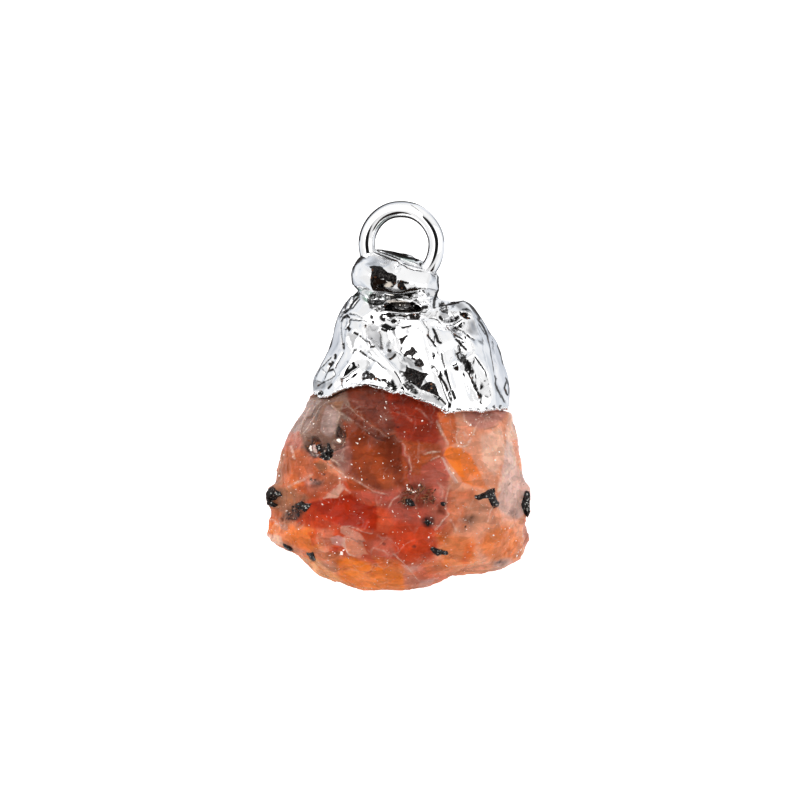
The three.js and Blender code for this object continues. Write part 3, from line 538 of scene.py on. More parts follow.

# Painted reflections and shade: greyer places painted into the plating where it mirrors darker surroundings:
# brightness, soft edge, outline
PAINTED_REFLECTION_GREYS = [
    (0.9, 0.1, (346,290, 340,318, 332,340, 328,354, 335,358, 340,352, 343,350, 341,340, 340,322, 345,315,
        350,300, 352,293)),
    (0.55, 0.2, (349,334, 356,336, 362,341, 365,350, 360,351, 352,349, 349,346)),
    (0.72, 0.1, (367,327, 376,325, 380,331, 382,345, 382,351, 376,350, 372,348, 367,342)),
    (0.55, 0.08, (380,334, 382,338, 383,351, 379,350)),
    (0.55, 0.08, (391,326, 397,325, 396,334, 393,341, 391,334)),
    (0.55, 0.08, (388,341, 391,343, 389,350, 386,348)),
    (0.6, 0.08, (401,330, 409,329, 410,335, 402,337, 400,334)),
    (0.6, 0.08, (387,351, 396,352, 396,357, 390,360, 387,357)),
    (0.62, 0.1, (366,357, 369,358, 372,370, 366,371, 367,363)),
    (0.55, 0.08, (372,351, 377,360, 371,357, 368,352)),
    (0.6, 0.08, (313,380, 319,382, 325,383, 333,380, 331,386, 324,389, 314,391, 312,386)),
    (0.72, 0.08, (400,363, 406,366, 407,369, 400,370)),
    (0.5, 0.12, (453,303, 460,300, 464,305, 468,309, 470,314, 466,313, 459,311, 455,306)),
    (0.66, 0.12, (468,322, 474,320, 477,331, 478,335, 470,334, 467,331)),
    (0.93, 0.08, (484,322, 492,332, 499,345, 503,360, 507,378, 511,395, 506,403, 501,397, 497,385,
        495,367, 492,350, 490,340, 486,330)),
    (0.66, 0.08, (443,310, 452,318, 455,325, 459,333, 463,338, 460,339, 452,331, 445,323, 439,314)),
    (0.55, 0.06, (403,358, 411,357, 416,362, 423,367, 425,372, 419,370, 410,368, 407,363, 401,362)),
    (0.6, 0.06, (424,379, 431,378, 433,382, 425,384)),
    (0.75, 0.5, (374,256, 386,256, 392,262, 392,271, 382,266, 374,262)),
    (0.8, 0.1, (372,291, 390,288, 400,290, 410,296, 400,297, 385,296)),
    (0.78, 0.08, (356,383, 372,383, 384,386, 392,391, 386,391, 370,387, 356,386)),
    (0.7, 0.1, (418,393, 430,396, 440,401, 446,408, 438,405, 428,401, 418,399)),
]

# Dark mottled patches in the skin, partly grime and partly painted shade and dark reflections: darkness, soft
# edge, outline
SHADE_AND_GRIME_PATCHES = [
    (1.0, 0.04, (398,339, 402,338, 406,336, 409,336, 405,340, 403,344, 401,345, 400,341)),
    (1.0, 0.05, (404,355, 406,351, 410,350, 411,347, 413,347, 415,350, 418,353, 415,355, 413,357, 414,360,
        411,359, 412,357, 409,356, 404,358)),
    (1.0, 0.05, (414,363, 417,361, 419,358, 422,360, 424,364, 423,367, 419,368, 415,366)),
    (0.9, 0.04, (411,359, 415,358, 420,361, 415,362)),
    (1.0, 0.05, (406,365, 408,368, 413,369, 418,371, 422,373, 426,373, 429,375, 426,377, 424,380, 422,384,
        420,389, 415,386, 409,383, 406,378, 403,374, 406,371)),
    (1.0, 0.05, (422,386, 426,383, 432,382, 435,385, 437,390, 439,396, 443,400, 438,397, 432,394, 424,391,
        420,389)),
    (0.55, 0.15, (398,370, 404,371, 408,378, 410,386, 404,384, 399,376)),
    (0.5, 0.12, (405,385, 414,387, 420,391, 414,393, 408,391)),
    (1.0, 0.05, (369,267, 373,266, 381,267, 385,270, 388,273, 392,274, 396,276, 397,280, 396,285, 392,288,
        389,288, 390,284, 385,280, 380,279, 374,280, 372,284, 375,288, 378,291, 375,290, 371,287, 370,280,
        371,276, 372,272)),
    (1.0, 0.04, (378,285, 383,284, 384,288, 379,289)),
    (1.0, 0.05, (401,280, 403,282, 405,287, 407,290, 403,291, 399,290, 397,287, 399,283)),
    (0.85, 0.06, (362,374, 367,371, 373,374, 378,378, 386,379, 389,382, 392,387, 388,386, 384,382,
        377,382, 371,380, 366,380, 361,381)),
    (0.7, 0.08, (460,353, 466,356, 468,360, 472,366, 474,371, 473,380, 476,386, 480,395, 482,404, 480,407,
        478,398, 473,388, 469,378, 466,372, 463,365, 460,360)),
    (1.0, 0.04, (459,312, 463,313, 467,316, 471,319, 468,320, 465,319, 462,316)),
    (0.65, 0.08, (438,303, 444,302, 448,308, 449,315, 443,313, 439,309)),
    (0.55, 0.08, (368,297, 375,293, 378,296, 385,295, 387,298, 392,298, 399,298, 390,301, 384,302,
        383,306, 384,312, 378,313, 374,312, 369,309, 368,304)),
    (1.0, 0.05, (384,304, 388,303, 392,306, 400,307, 412,307, 417,306, 420,309, 417,312, 410,313, 398,312,
        388,311, 384,308)),
    (0.8, 0.06, (385,313, 395,314, 405,315, 415,314, 421,312, 421,317, 417,320, 408,318, 396,316, 390,319,
        386,317)),
    (0.8, 0.08, (315,394, 318,391, 322,391, 323,397, 316,397)),
    (0.45, 0.08, (495,377, 498,380, 499,392, 504,398, 506,404, 500,398, 497,392)),
    (0.8, 0.05, (408,302, 414,304, 419,307, 412,307)),
]

# Warm, cream-coloured places in the plating: share, outline
CREAM = [
    (0.8, (374,281, 380,280, 385,282, 384,284, 378,285, 376,287, 373,285)),
    (0.7, (384,282, 391,282, 394,286, 389,288, 384,288)),
    (0.6, (386,301, 396,300, 408,302, 404,306, 390,305)),
    (0.5, (376,288, 379,288, 378,290)),
]

# Pits in the skin: depth, middle, radii, turn
PITS = [
    (0.35, (319, 394), (0.16, 0.14), 0),
    (0.12, (424, 310), (0.18, 0.08), 10),
    (0.2, (465, 316), (0.24, 0.09), -25),
    (0.2, (376, 300), (0.4, 0.25), 0),
    (0.3, (401, 309), (0.85, 0.12), -3),
    (0.12, (404, 317), (0.8, 0.1), -4),
    (0.12, (443, 308), (0.15, 0.2), 0),
]

GRAIN_DEPTH = 0.06  # of a bright grain, at most

# Green tarnish in the skin: middle, radii, turn
VERDIGRIS = [
    ((403, 257), (0.6, 0.1), -20),
    ((355, 293), (0.3, 0.1), -50),
    ((366, 300), (0.25, 0.1), -40),
    ((430, 265), (0.3, 0.08), -20),
]

# Where the plated skin ends, from left to right in millimetres, on the front and on the back
RIM_FRONT = [
    (-4.36, 0.1), (-4.0, -0.08), (-3.62, -0.12), (-2.97, 0.22), (-2.4, 0.42), (-1.6, 0.5),
    (-0.75, 0.3), (-0.2, 0.05), (0.15, 0.1), (0.9, -0.22), (1.85, -0.55), (2.5, -0.95),
    (3.3, -0.8), (4.2, -0.86), (5.0, -0.75), (5.6, -0.68),
]
RIM_BACK = [
    (-4.2, 0.25), (-3.8, 0.5), (-2.9, 0.2), (-1.9, -0.1), (-0.8, 0.25), (0.2, 0.55), (1.3, 0.2),
    (2.3, -0.25), (3.2, 0.0), (4.3, -0.45), (5.2, -0.7), (5.6, -0.68),
]
RIM_STEPS = 90  # points along each of them that the beads' paths go through
RIM_SEED = 12
RIM_LIFT = 0.07  # how far up from the rim the beads lie
RIM_WANDER = 0.05  # how far they stray from there, as a standard deviation
RIM_GAP = 0.5  # the longest step that still joins two points of a path
SEAM = 3.6  # height that parts the skin's front from its back
UPPER = 3  # height above which the wall's thickness counts and tarnish shows
THINNEST = 0.12  # of the plated skin
ROOM = 0.1  # how far the dressed front may stand above its solid
FAR_OFF = 30  # a height beyond every piece, to look from

# What counts as front: the heights, then the slopes, where it sets in and where it is full
STONE_FRONT = ((2.6, 4.0), (-0.1, 0.25))
STAINED_FRONT = ((1.4, 2.2), (-0.1, 0.25))
CAP_FRONT = ((2.4, 3.6), (-0.25, 0.1))

# Broad drifts of colour in the stone's body: tint, where each sets in and is full, size, seed
DRIFTS = [
    ("peach", 0.05, 0.6, 2.2, 21),
    ("red", 0.1, 0.6, 2.8, 22),
    ("bright orange", 0.15, 0.6, 1.9, 23),
    ("lilac", 0.3, 0.7, 1.6, 24),
    ("burnt orange", 0.2, 0.7, 1.3, 25),
]

# The stage

AIM = (0.1, -0.22, 4.2)  # where the camera looks
SENSOR = 36  # width of the camera's sensor
DULL_SHARE = 0.45  # of the tent's brightness, for all that isn't mirrored

# Area lights: name, place and size in metres, power in watts
LAMPS = [
    ("soft light left", (-0.22, 0.16, 0.26), 0.36, 0.6),
    ("soft light right", (0.25, 0.05, 0.22), 0.28, 0.25),
    ("small light", (-0.1, 0.14, 0.3), 0.05, 0.06),
]

# The tent from overhead outwards: angle in radians, grey
CROWN = [(0.0, 0.012), (0.375, 0.012), (0.395, 0.75), (0.42, 0.82), (0.56, 0.97), (0.7, 1.0)]



# Settings


class StoneSettings(bpy.types.PropertyGroup):
    grid: FloatProperty(
        name="Grid", description="Size of the skin's squares on the sides and back, in millimetres",
        default=0.238, min=0.1, max=0.4,
    )
    relief: FloatProperty(
        name="Relief", description="Height of the broken surface's roughness, in millimetres",
        default=0.05, min=0.0, max=0.2,
    )
    facet: FloatProperty(
        name="Facet", description="Width of the small broken faces, in millimetres",
        default=0.95, min=0.2, max=3.0,
    )
    body_colour: FloatVectorProperty(
        name="Body colour", description="The feldspar between its coloured patches",
        default=(0.68, 0.2, 0.09), size=3, min=0.0, max=1.0, subtype="COLOR",
    )
    # The frost colour also paints the highlights along the ledges
    frost_and_highlight_colour: FloatVectorProperty(
        name="Frost colour", description="Bruised edges and healed cracks",
        default=(0.86, 0.62, 0.5), size=3, min=0.0, max=1.0, subtype="COLOR",
    )


class CrystalSettings(bpy.types.PropertyGroup):
    seed: IntProperty(
        name="Seed", description="Changes how the crystals and grains are broken", default=7, min=0,
    )
    glints: FloatProperty(
        name="Glints", description="How many tiny bright platelets there are on a square millimetre",
        default=4.2, min=0.0, max=9.0,
    )
    glint_size: FloatProperty(
        name="Glint size", description="Radius of the largest platelets",
        default=0.00004, min=0.00001, max=0.0003, unit="LENGTH", precision=6,
    )


class CapSettings(bpy.types.PropertyGroup):
    grid: FloatProperty(
        name="Grid", description="Size of the skin's squares on the sides and back, in millimetres",
        default=0.1, min=0.06, max=0.3,
    )
    wrinkle: FloatProperty(
        name="Wrinkle", description="Height of the fine wrinkles in the skin, in millimetres",
        default=0.022, min=0.0, max=0.2,
    )
    deepest: FloatProperty(
        name="Deepest crease", description="How far a crease or pit may go into the skin, in millimetres",
        default=-0.2, min=-0.4, max=-0.05,
    )
    plating: FloatVectorProperty(
        name="Plating", description="Colour of the bright plated metal",
        default=(0.92, 0.92, 0.925), size=3, min=0.0, max=1.0, subtype="COLOR",
    )
    bead: FloatProperty(
        name="Bead", description="Radius of the largest metal beads along the rim",
        default=0.000085, min=0.00002, max=0.0003, unit="LENGTH", precision=6,
    )


class RingSettings(bpy.types.PropertyGroup):
    wire: FloatProperty(
        name="Wire", description="Radius of the ring's wire",
        default=0.000425, min=0.0001, max=0.001, unit="LENGTH", precision=6,
    )
    radius: FloatProperty(
        name="Radius", description="Radius of the ring to the middle of its wire",
        default=0.00186, min=0.001, max=0.004, unit="LENGTH", precision=6,
    )
    turn: FloatProperty(
        name="Turn", description="How far the ring is turned about the charm's length",
        default=-0.27, min=-0.6, max=0.6, unit="ROTATION",
    )
    lean: FloatProperty(
        name="Lean", description="How far the ring's top leans up from the table",
        default=0.05, min=-0.6, max=0.6, unit="ROTATION",
    )


class StageSettings(bpy.types.PropertyGroup):
    height: FloatProperty(
        name="Camera height", description="How far the camera is above the charm's middle",
        default=0.5, min=0.1, max=3.0, unit="LENGTH",
    )
    frame_width: FloatProperty(
        name="Frame width", description="Width that the picture takes in at the charm's middle",
        default=0.04103, min=0.02, max=0.2, unit="LENGTH", precision=5,
    )
    sky: FloatProperty(
        name="Sky", description="Brightness of the white tent round the charm",
        default=1.05, min=0.1, max=4.0,
    )
    floor_radius: FloatProperty(
        name="Floor radius", description="How far the pale floor reaches",
        default=0.6, min=0.1, max=3.0, unit="LENGTH",
    )


# Noise and shapes on the plane

LATTICE = np.array([v for v in product((-1, 0, 1), repeat=3) if sum(map(abs, v)) == 2], float)
FAR = 1e9
MOTTLE_PRIMES = (73856093, 19349663, 83492791, 9973)
FACE_PRIMES = (92837111, 689287499, 283923481, 7919)


def scrambled(cell, seed, primes, shift, mixer):
    """A whole number for each grid cell that looks random and is always the same."""
    a, b, c = cell.T
    key = (a * primes[0]) ^ (b * primes[1]) ^ (c * primes[2]) ^ (seed * primes[3])
    return ((key ^ (key >> shift)) * mixer) & 0x7FFFFFFF


def mottle(points, size, seed):
    """Smooth noise from -1 to 1 with lumps of that size. Each seed gives another."""
    q = points / size + 11.7 * (seed + 1)
    cell = np.floor(q)
    part = q - cell
    ease = part**3 * (part * (part * 6 - 15) + 10)
    cell = cell.astype(np.int64)
    total = np.zeros(len(q))
    for corner in product((0, 1), repeat=3):
        key = scrambled(cell + corner, seed, MOTTLE_PRIMES, 13, 1274126177)
        slope = LATTICE[(key >> 8) % 12]
        weight = np.prod(np.where(corner, ease, 1 - ease), axis=1)
        total += weight * np.sum(slope * (part - corner), axis=1)
    return np.clip(total * 1.15, -1, 1)


def sway(points, size, *seeds):
    """The same noise with a column for each seed, to shift places by."""
    return np.stack([mottle(points, size, seed) for seed in seeds], axis=1)


def broken_faces(points, size, seed):
    """Height of small flat faces, each tilted its own way, and how near their edges are."""
    q = points / size
    cell = np.floor(q).astype(np.int64)
    nearest = np.full(len(q), FAR)
    second = nearest.copy()
    height = np.zeros(len(q))
    for step in product((-1, 0, 1), repeat=3):
        at = cell + step
        key = scrambled(at, seed, FACE_PRIMES, 15, 668265263)
        middle = at + np.stack([(key >> s) & 1023 for s in (0, 7, 14)], axis=1) / 1023.0
        tilt = np.stack([(key >> s) & 255 for s in (5, 12, 19)], axis=1) / 127.5 - 1
        away = q - middle
        far = np.linalg.norm(away, axis=1)
        closer = far < nearest
        second = np.where(closer, nearest, np.minimum(second, far))
        height = np.where(closer, np.sum(tilt * away, axis=1) + 0.5 * tilt[:, 0], height)
        nearest = np.where(closer, far, nearest)
    return np.clip(height, -1, 1), second - nearest


def smooth(value, low, high):
    """0 below low, 1 above high and an even curve between."""
    t = np.clip((value - low) / (high - low), 0, 1)
    return t * t * (3 - 2 * t)


def bell(value, width):
    """1 at 0, falling off evenly on both sides."""
    return np.exp(-((value / width) ** 2))


def between_ends(along, low, high):
    """0 at both ends of a line and 1 between."""
    return smooth(along, low, high) * smooth(1 - along, low, high)


def on_front(points, normals, heights, tilts):
    """1 where a surface is high enough and looks up, and 0 elsewhere."""
    return smooth(points[:, 2], *heights) * smooth(normals[:, 2], *tilts)


def places(pixels):
    """Places in the photo as rows of x and y in millimetres, to the nearest hundredth."""
    x, y = (np.reshape(pixels, (-1, 2)) - PHOTO_ORIGIN).T * PIXEL
    return np.round(np.stack([x, -y], axis=1), 2)


def nearest_on(flat, a, b):
    """How far points are from a straight stretch, and how far along it the nearest spot is."""
    ab = b - a
    t = np.clip((flat - a) @ ab / max(ab @ ab, 1e-12), 0, 1)
    return np.hypot(*(flat - a - t[:, None] * ab).T), t


def from_line(flat, line):
    """Distance of points from a line, below zero on its right-hand side, and how far along it is."""
    line = places(line)
    best = np.full(len(flat), FAR)
    edge = np.zeros(len(flat))
    along = np.zeros(len(flat))
    for i, (a, b) in enumerate(zip(line[:-1], line[1:])):
        ab = b - a
        off = flat - a
        far, t = nearest_on(flat, a, b)
        across = (ab[0] * off[:, 1] - ab[1] * off[:, 0]) / np.hypot(*ab)
        tied = np.abs(far - best) < 1e-9
        take = np.where(tied, np.abs(across) > np.abs(edge), far < best)
        edge = np.where(take, across, edge)
        along = np.where(take, (i + t) / (len(line) - 1), along)
        best = np.minimum(best, far)
    return np.where(edge < 0, -best, best), along


def in_outline(flat, outline, soft):
    """1 inside a closed outline and 0 outside, with a soft edge."""
    corners = places(outline)
    inside = np.zeros(len(flat), bool)
    best = np.full(len(flat), FAR)
    x, y = flat.T
    for a, b in zip(corners, np.roll(corners, -1, axis=0)):
        crosses = (a[1] > y) != (b[1] > y)
        rise = b[1] - a[1] if b[1] != a[1] else 1e-9
        inside ^= crosses & (x < (b[0] - a[0]) * (y - a[1]) / rise + a[0])
        best = np.minimum(best, nearest_on(flat, a, b)[0])
    return smooth(np.where(inside, best, -best), -soft / 2, soft / 2)


def in_oval(flat, middle, radii, turn, soft):
    """1 inside an oval and 0 outside, with a soft edge."""
    c, s = math.cos(math.radians(turn)), math.sin(math.radians(turn))
    x, y = (flat - places(middle)).T
    u, v = (x * c + y * s) / radii[0], (y * c - x * s) / radii[1]
    return smooth((1 - np.hypot(u, v)) * min(radii), -soft / 2, soft / 2)


# Meshes


def read(mesh, what="co", kind="vertices"):
    """A mesh's points, or its normals, as rows of three numbers."""
    items = getattr(mesh, kind)
    out = np.empty(len(items) * 3, np.float32)
    items.foreach_get(what, out)
    return out.reshape(-1, 3).astype(float)


def shape_of(mesh):
    """A mesh's points and the directions that they face."""
    return read(mesh), read(mesh, "vector", "vertex_normals")


def write(mesh, points):
    mesh.vertices.foreach_set("co", points.astype(np.float32).ravel())
    mesh.update()


def paint(mesh, **layers):
    """Keeps values or colours for each point, under their names."""
    for name, values in layers.items():
        kind, field = "FLOAT", "value"
        if values.ndim == 2:
            kind, field = "FLOAT_COLOR", "color"
            values = np.c_[values, np.ones(len(values))]
        layer = mesh.attributes.new(name, kind, "POINT")
        layer.data.foreach_set(field, values.astype(np.float32).ravel())


def linear(colour):
    """Turns sRGB from 0 to 255 into the plain light values that Blender works with."""
    c = np.asarray(colour, float) / 255
    return np.where(c <= 0.04045, c / 12.92, ((c + 0.055) / 1.055) ** 2.4)


def new_object(name, data):
    made = bpy.data.objects.new(name, data)
    bpy.context.scene.collection.objects.link(made)
    return made


def mesh_from(bm, name):
    mesh = bpy.data.meshes.new(name)
    bm.to_mesh(mesh)
    bm.free()
    return mesh


def evaluated(carrier):
    """The plain mesh that an object's modifiers make."""
    return bpy.data.meshes.new_from_object(carrier.evaluated_get(bpy.context.evaluated_depsgraph_get()))


def skin_of(node, grid):
    """A node's solid in millimetres, with its facets replaced by an even grid of squares."""
    bm = bmesh.new()
    bm.from_mesh(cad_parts[node].data)
    bmesh.ops.remove_doubles(bm, verts=bm.verts, dist=1e-7)
    bmesh.ops.scale(bm, vec=(1 / MM,) * 3, verts=bm.verts)
    rough = mesh_from(bm, node + "_solid")
    carrier = new_object(node + "_solid", rough)
    remesh = carrier.modifiers.new("grid", "REMESH")
    remesh.mode = "VOXEL"
    remesh.voxel_size = grid
    even = evaluated(carrier)
    bpy.data.objects.remove(carrier)
    bpy.data.meshes.remove(rough)
    return even


def soften(mesh, rounds, hold=0):
    """Evens a mesh out without shrinking it. Points where hold is 1 stay."""
    points = read(mesh)
    total = len(points)
    pairs = np.empty(len(mesh.edges) * 2, np.int32)
    mesh.edges.foreach_get("vertices", pairs)
    a, b = pairs.reshape(-1, 2).T
    count = np.maximum(np.bincount(a, minlength=total) + np.bincount(b, minlength=total), 1)
    free = np.ones(total) - hold
    for inwards_then_out in (0.55, -0.57) * rounds:
        sums = [np.bincount(a, points[b, k], total) + np.bincount(b, points[a, k], total) for k in range(3)]
        middle = np.stack(sums, axis=1) / count[:, None]
        points += (inwards_then_out * free)[:, None] * (middle - points)
    write(mesh, points)


def held_at_foot(points):
    """1 on the flat face that the stone lies on, and 0 above it."""
    return smooth(-points[:, 2], -0.12, -0.02)


def refine(mesh, low, facing=0.05):
    """Halves the squares that look up and lie above a height, for finer relief there."""
    bm = bmesh.new()
    bm.from_mesh(mesh)
    bm.normal_update()
    seen = [f for f in bm.faces if f.normal.z > facing and f.calc_center_median().z > low]
    edges = list({e for f in seen for e in f.edges})
    bmesh.ops.subdivide_edges(bm, edges=edges, cuts=1, use_grid_fill=True)
    bm.to_mesh(mesh)
    bm.free()


def kept_in(box, points):
    """The points, none of them outside a node's box, but for a little room on top."""
    low, high = (np.array(corner) / MM for corner in box)
    return np.clip(points, low, high + (0, 0, ROOM))


def settle(name, mesh, material, replaces=None):
    """Makes a finished millimetre mesh a piece of the charm."""
    mesh.transform(Matrix.Scale(MM, 4))
    mesh.name = name
    mesh.materials.clear()
    mesh.materials.append(material)
    piece = new_object(name, mesh)
    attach(piece, "root")
    if replaces:
        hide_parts(replaces)


def tree_of(piece):
    """For finding where a straight line meets a piece, in millimetres."""
    points = [v.co / MM for v in piece.data.vertices]
    return BVHTree.FromPolygons(points, [p.vertices[:] for p in piece.data.polygons])


# Node trees


def new_tree(name, kind, inputs, outputs):
    """A node tree with these inputs (name, kind, default) and outputs (name, kind), and its two ends."""
    tree = bpy.data.node_groups.new(name, kind)
    for label, socket_type, default in inputs:
        socket = tree.interface.new_socket(label, in_out="INPUT", socket_type=socket_type)
        if default is not None:
            socket.default_value = default
    for label, socket_type in outputs:
        tree.interface.new_socket(label, in_out="OUTPUT", socket_type=socket_type)
    return tree, tree.nodes.new("NodeGroupInput"), tree.nodes.new("NodeGroupOutput")


def plug(tree, node, **inputs):
    """Fills a node's sockets, named or numbered as s0, s1 and so on, with values or other outputs."""
    for key, value in inputs.items():
        numbered = key[0] == "s" and key[1:].isdigit()
        socket = node.inputs[int(key[1:]) if numbered else key.replace("_", " ")]
        if isinstance(value, bpy.types.NodeSocket):
            tree.links.new(value, socket)
        else:
            socket.default_value = value


def put(tree, kind, settings=None, **inputs):
    """Adds a node. Settings go on the node itself, and inputs on its sockets."""
    node = tree.nodes.new(kind)
    for key, value in (settings or {}).items():
        setattr(node, key, value)
    plug(tree, node, **inputs)
    return node


def maths(tree, operation, a, b=0.0, c=0.0, clamp=False):
    settings = {"operation": operation, "use_clamp": clamp}
    return put(tree, "ShaderNodeMath", settings, s0=a, s1=b, s2=c).outputs[0]


def times(tree, a, b, clamp=False):
    return maths(tree, "MULTIPLY", a, b, clamp=clamp)


def blend_of(tree, share, a, b, kind="MIX"):
    """A colour mix: a at 0 and b at 1."""
    settings = {"data_type": "RGBA", "blend_type": kind}
    return put(tree, "ShaderNodeMix", settings, s0=share, s6=a, s7=b).outputs[2]


def ramp_of(tree, value, low, high, start=0.0, end=1.0):
    """A value carried from one range to another, held at its ends."""
    settings = {"interpolation_type": "SMOOTHSTEP"}
    ranges = {"From_Min": low, "From_Max": high, "To_Min": start, "To_Max": end}
    return put(tree, "ShaderNodeMapRange", settings, Value=value, **ranges).outputs[0]


def varied(tree, mask, low, high):
    """A value that goes from low to high as a mask goes from 0 to 1."""
    return ramp_of(tree, mask, 0.0, 1.0, low, high)


def greys_of(tree, value, stops):
    """A grey that follows a value through stops (value from 0 to 1, grey)."""
    node = put(tree, "ShaderNodeValToRGB", Fac=value)
    elements = node.color_ramp.elements
    for i, (place, grey) in enumerate(stops):
        stop = elements[i] if i < 2 else elements.new(place)
        stop.position = place
        stop.color = (grey, grey, grey, 1)
    return node.outputs[0]


def noise(tree, vector, scale, detail, roughness=0.5):
    inputs = {"Vector": vector, "Scale": scale, "Detail": detail, "Roughness": roughness}
    return put(tree, "ShaderNodeTexNoise", **inputs)


def cells(tree, vector, scale):
    """Voronoi cells: how far a place is from its cell's middle, and a colour for each cell."""
    return put(tree, "ShaderNodeTexVoronoi", {"feature": "F1"}, Vector=vector, Scale=scale, Randomness=1.0)


def channels(tree, colour):
    return put(tree, "ShaderNodeSeparateColor", Color=colour).outputs


def stretched(tree, vector, turn, scale):
    return put(tree, "ShaderNodeMapping", Vector=vector, Rotation=turn, Scale=scale).outputs[0]


def painted(tree, name, output="Fac"):
    """A value or a colour that paint kept on the mesh."""
    return put(tree, "ShaderNodeAttribute", {"attribute_name": name}).outputs[output]


def bumped(tree, height, strength, distance):
    return put(tree, "ShaderNodeBump", Strength=strength, Distance=distance, Height=height).outputs[0]


# Shader groups


def crumbly_grain(tree, vector, size, detail):
    """Crumbly grain: a mask that varies over the surface and a height for bumps."""
    group = bpy.data.node_groups.get("crumbly grain")
    if not group:
        group, start, end = new_tree(
            "crumbly grain", "ShaderNodeTree",
            [
                ("Vector", "NodeSocketVector", None),
                ("Size", "NodeSocketFloat", 0.5),
                ("Detail", "NodeSocketFloat", 4.0),
            ],
            [("Mask", "NodeSocketFloat"), ("Height", "NodeSocketFloat")],
        )
        where = start.outputs["Vector"]
        per = maths(group, "DIVIDE", 1.0, start.outputs["Size"])
        lumps = noise(group, where, per, start.outputs["Detail"], 0.6).outputs[0]
        hollow = cells(group, where, times(group, per, 2.3)).outputs["Distance"]
        height = maths(group, "MULTIPLY_ADD", hollow, -0.35, lumps)
        plug(group, end, Mask=ramp_of(group, lumps, 0.36, 0.66), Height=height)
    inputs = {"Vector": vector, "Size": size, "Detail": detail}
    outputs = put(tree, "ShaderNodeGroup", {"node_tree": group}, **inputs).outputs
    return outputs["Mask"], outputs["Height"]


def scattered_specks(tree, vector, spacing, radius, share):
    """Small scattered specks: 1 on a speck and 0 beside it."""
    group = bpy.data.node_groups.get("scattered specks")
    if not group:
        group, start, end = new_tree(
            "scattered specks", "ShaderNodeTree",
            [
                ("Vector", "NodeSocketVector", None),
                ("Spacing", "NodeSocketFloat", 0.5),
                ("Radius", "NodeSocketFloat", 0.1),
                ("Share", "NodeSocketFloat", 0.5),
            ],
            [("Mask", "NodeSocketFloat")],
        )
        per = maths(group, "DIVIDE", 1.0, start.outputs["Spacing"])
        grid = cells(group, start.outputs["Vector"], per)
        pick, spread, _ = channels(group, grid.outputs["Color"])
        size = times(group, start.outputs["Radius"], maths(group, "ADD", spread, 0.3))
        near = maths(group, "LESS_THAN", grid.outputs["Distance"], size)
        chosen = maths(group, "LESS_THAN", pick, start.outputs["Share"])
        plug(group, end, Mask=times(group, near, chosen))
    inputs = {"Vector": vector, "Spacing": spacing, "Radius": radius, "Share": share}
    return put(tree, "ShaderNodeGroup", {"node_tree": group}, **inputs).outputs["Mask"]


# Materials

BUMP = 0.00001  # how high the fine bumps are, in metres


def new_material(name):
    """A material with one Principled BSDF and the piece's own coordinates in millimetres."""
    old = bpy.data.materials.get(name)
    if old:
        bpy.data.materials.remove(old)
    material = bpy.data.materials.new(name)
    material.use_nodes = True
    tree = material.node_tree
    coords = put(tree, "ShaderNodeTexCoord").outputs["Object"]
    scaled = put(tree, "ShaderNodeMapping", Vector=coords, Scale=(1 / MM,) * 3).outputs[0]
    return material, tree, tree.nodes["Principled BSDF"], scaled


def feldspar():
    """Waxy, glassy broken feldspar with its patches of colour, among them painted shade on its steep sides
    and painted light at its foot, frosted edges that also carry painted highlights, and dark stains.
    """
    settings = bpy.context.scene.charm_stone
    material, tree, shader, where = new_material("sunstone feldspar")
    tint = painted(tree, "tint", "Color")
    frost, stain, milky = (painted(tree, name) for name in ("frost", "stain", "wisps"))
    broad, _ = crumbly_grain(tree, where, size=0.9, detail=3.0)
    crumb, crumb_height = crumbly_grain(tree, where, size=0.16, detail=5.0)
    slanted = stretched(tree, where, turn=(0.3, 0.5, 0.9), scale=(0.6, 1.6, 1.0))
    fibres = noise(tree, slanted, scale=1.1, detail=7.0, roughness=0.7).outputs[0]
    plate = channels(tree, cells(tree, slanted, scale=1.9).outputs["Color"])[0]
    drawn = stretched(tree, where, turn=(0, 0, -0.95), scale=(0.9, 4.5, 2.0))
    thread = noise(tree, drawn, scale=0.8, detail=6.0, roughness=0.72).outputs[0]
    pale = times(tree, scattered_specks(tree, where, spacing=0.3, radius=0.12, share=0.4), 0.55)
    dark = times(tree, scattered_specks(tree, where, spacing=0.8, radius=0.07, share=0.2), 0.6)

    colour = tint
    for mask, darkest, brightest in ((broad, 0.86, 1.12), (crumb, 0.95, 1.05), (plate, 0.86, 1.13)):
        colour = blend_of(tree, 1.0, colour, varied(tree, mask, darkest, brightest), "MULTIPLY")
    # deep colours are the clear parts of the stone, so the pale veils are thin there
    thin = ramp_of(tree, channels(tree, tint)[1], 0.02, 0.3, 0.25, 1.0)
    veil = times(tree, thin, ramp_of(tree, fibres, 0.52, 0.78, 0.0, 0.08))
    wisp = times(tree, times(tree, milky, thin), ramp_of(tree, thread, 0.47, 0.66))
    # frost along edges and ledges, partly painted highlights
    edge = times(tree, frost, varied(tree, crumb, 0.55, 1.2), clamp=True)
    black = times(tree, stain, varied(tree, crumb, 0.75, 1.1), clamp=True)
    frost_and_highlight_tone = settings.frost_and_highlight_colour
    cream, brown, near_black = (0.95, 0.8, 0.68), (0.1, 0.025, 0.012), (0.016, 0.012, 0.012)
    layers = ((veil, frost_and_highlight_tone), (wisp, frost_and_highlight_tone), (edge, frost_and_highlight_tone), (pale, cream), (dark, brown), (black, near_black))
    for share, over in layers:
        colour = blend_of(tree, share, colour, (*over, 1))

    rough = maths(tree, "MULTIPLY_ADD", frost, 0.2, varied(tree, crumb, 0.12, 0.24))
    relief = maths(tree, "MULTIPLY_ADD", fibres, 0.2, crumb_height)
    plug(
        tree, shader, Base_Color=colour, Roughness=rough, Normal=bumped(tree, relief, 0.1, 1.5 * BUMP),
        IOR=1.54, Specular_IOR_Level=0.09, Subsurface_Weight=0.5, Subsurface_Radius=(1.0, 0.4, 0.22),
        Subsurface_Scale=0.0002,
    )
    return material


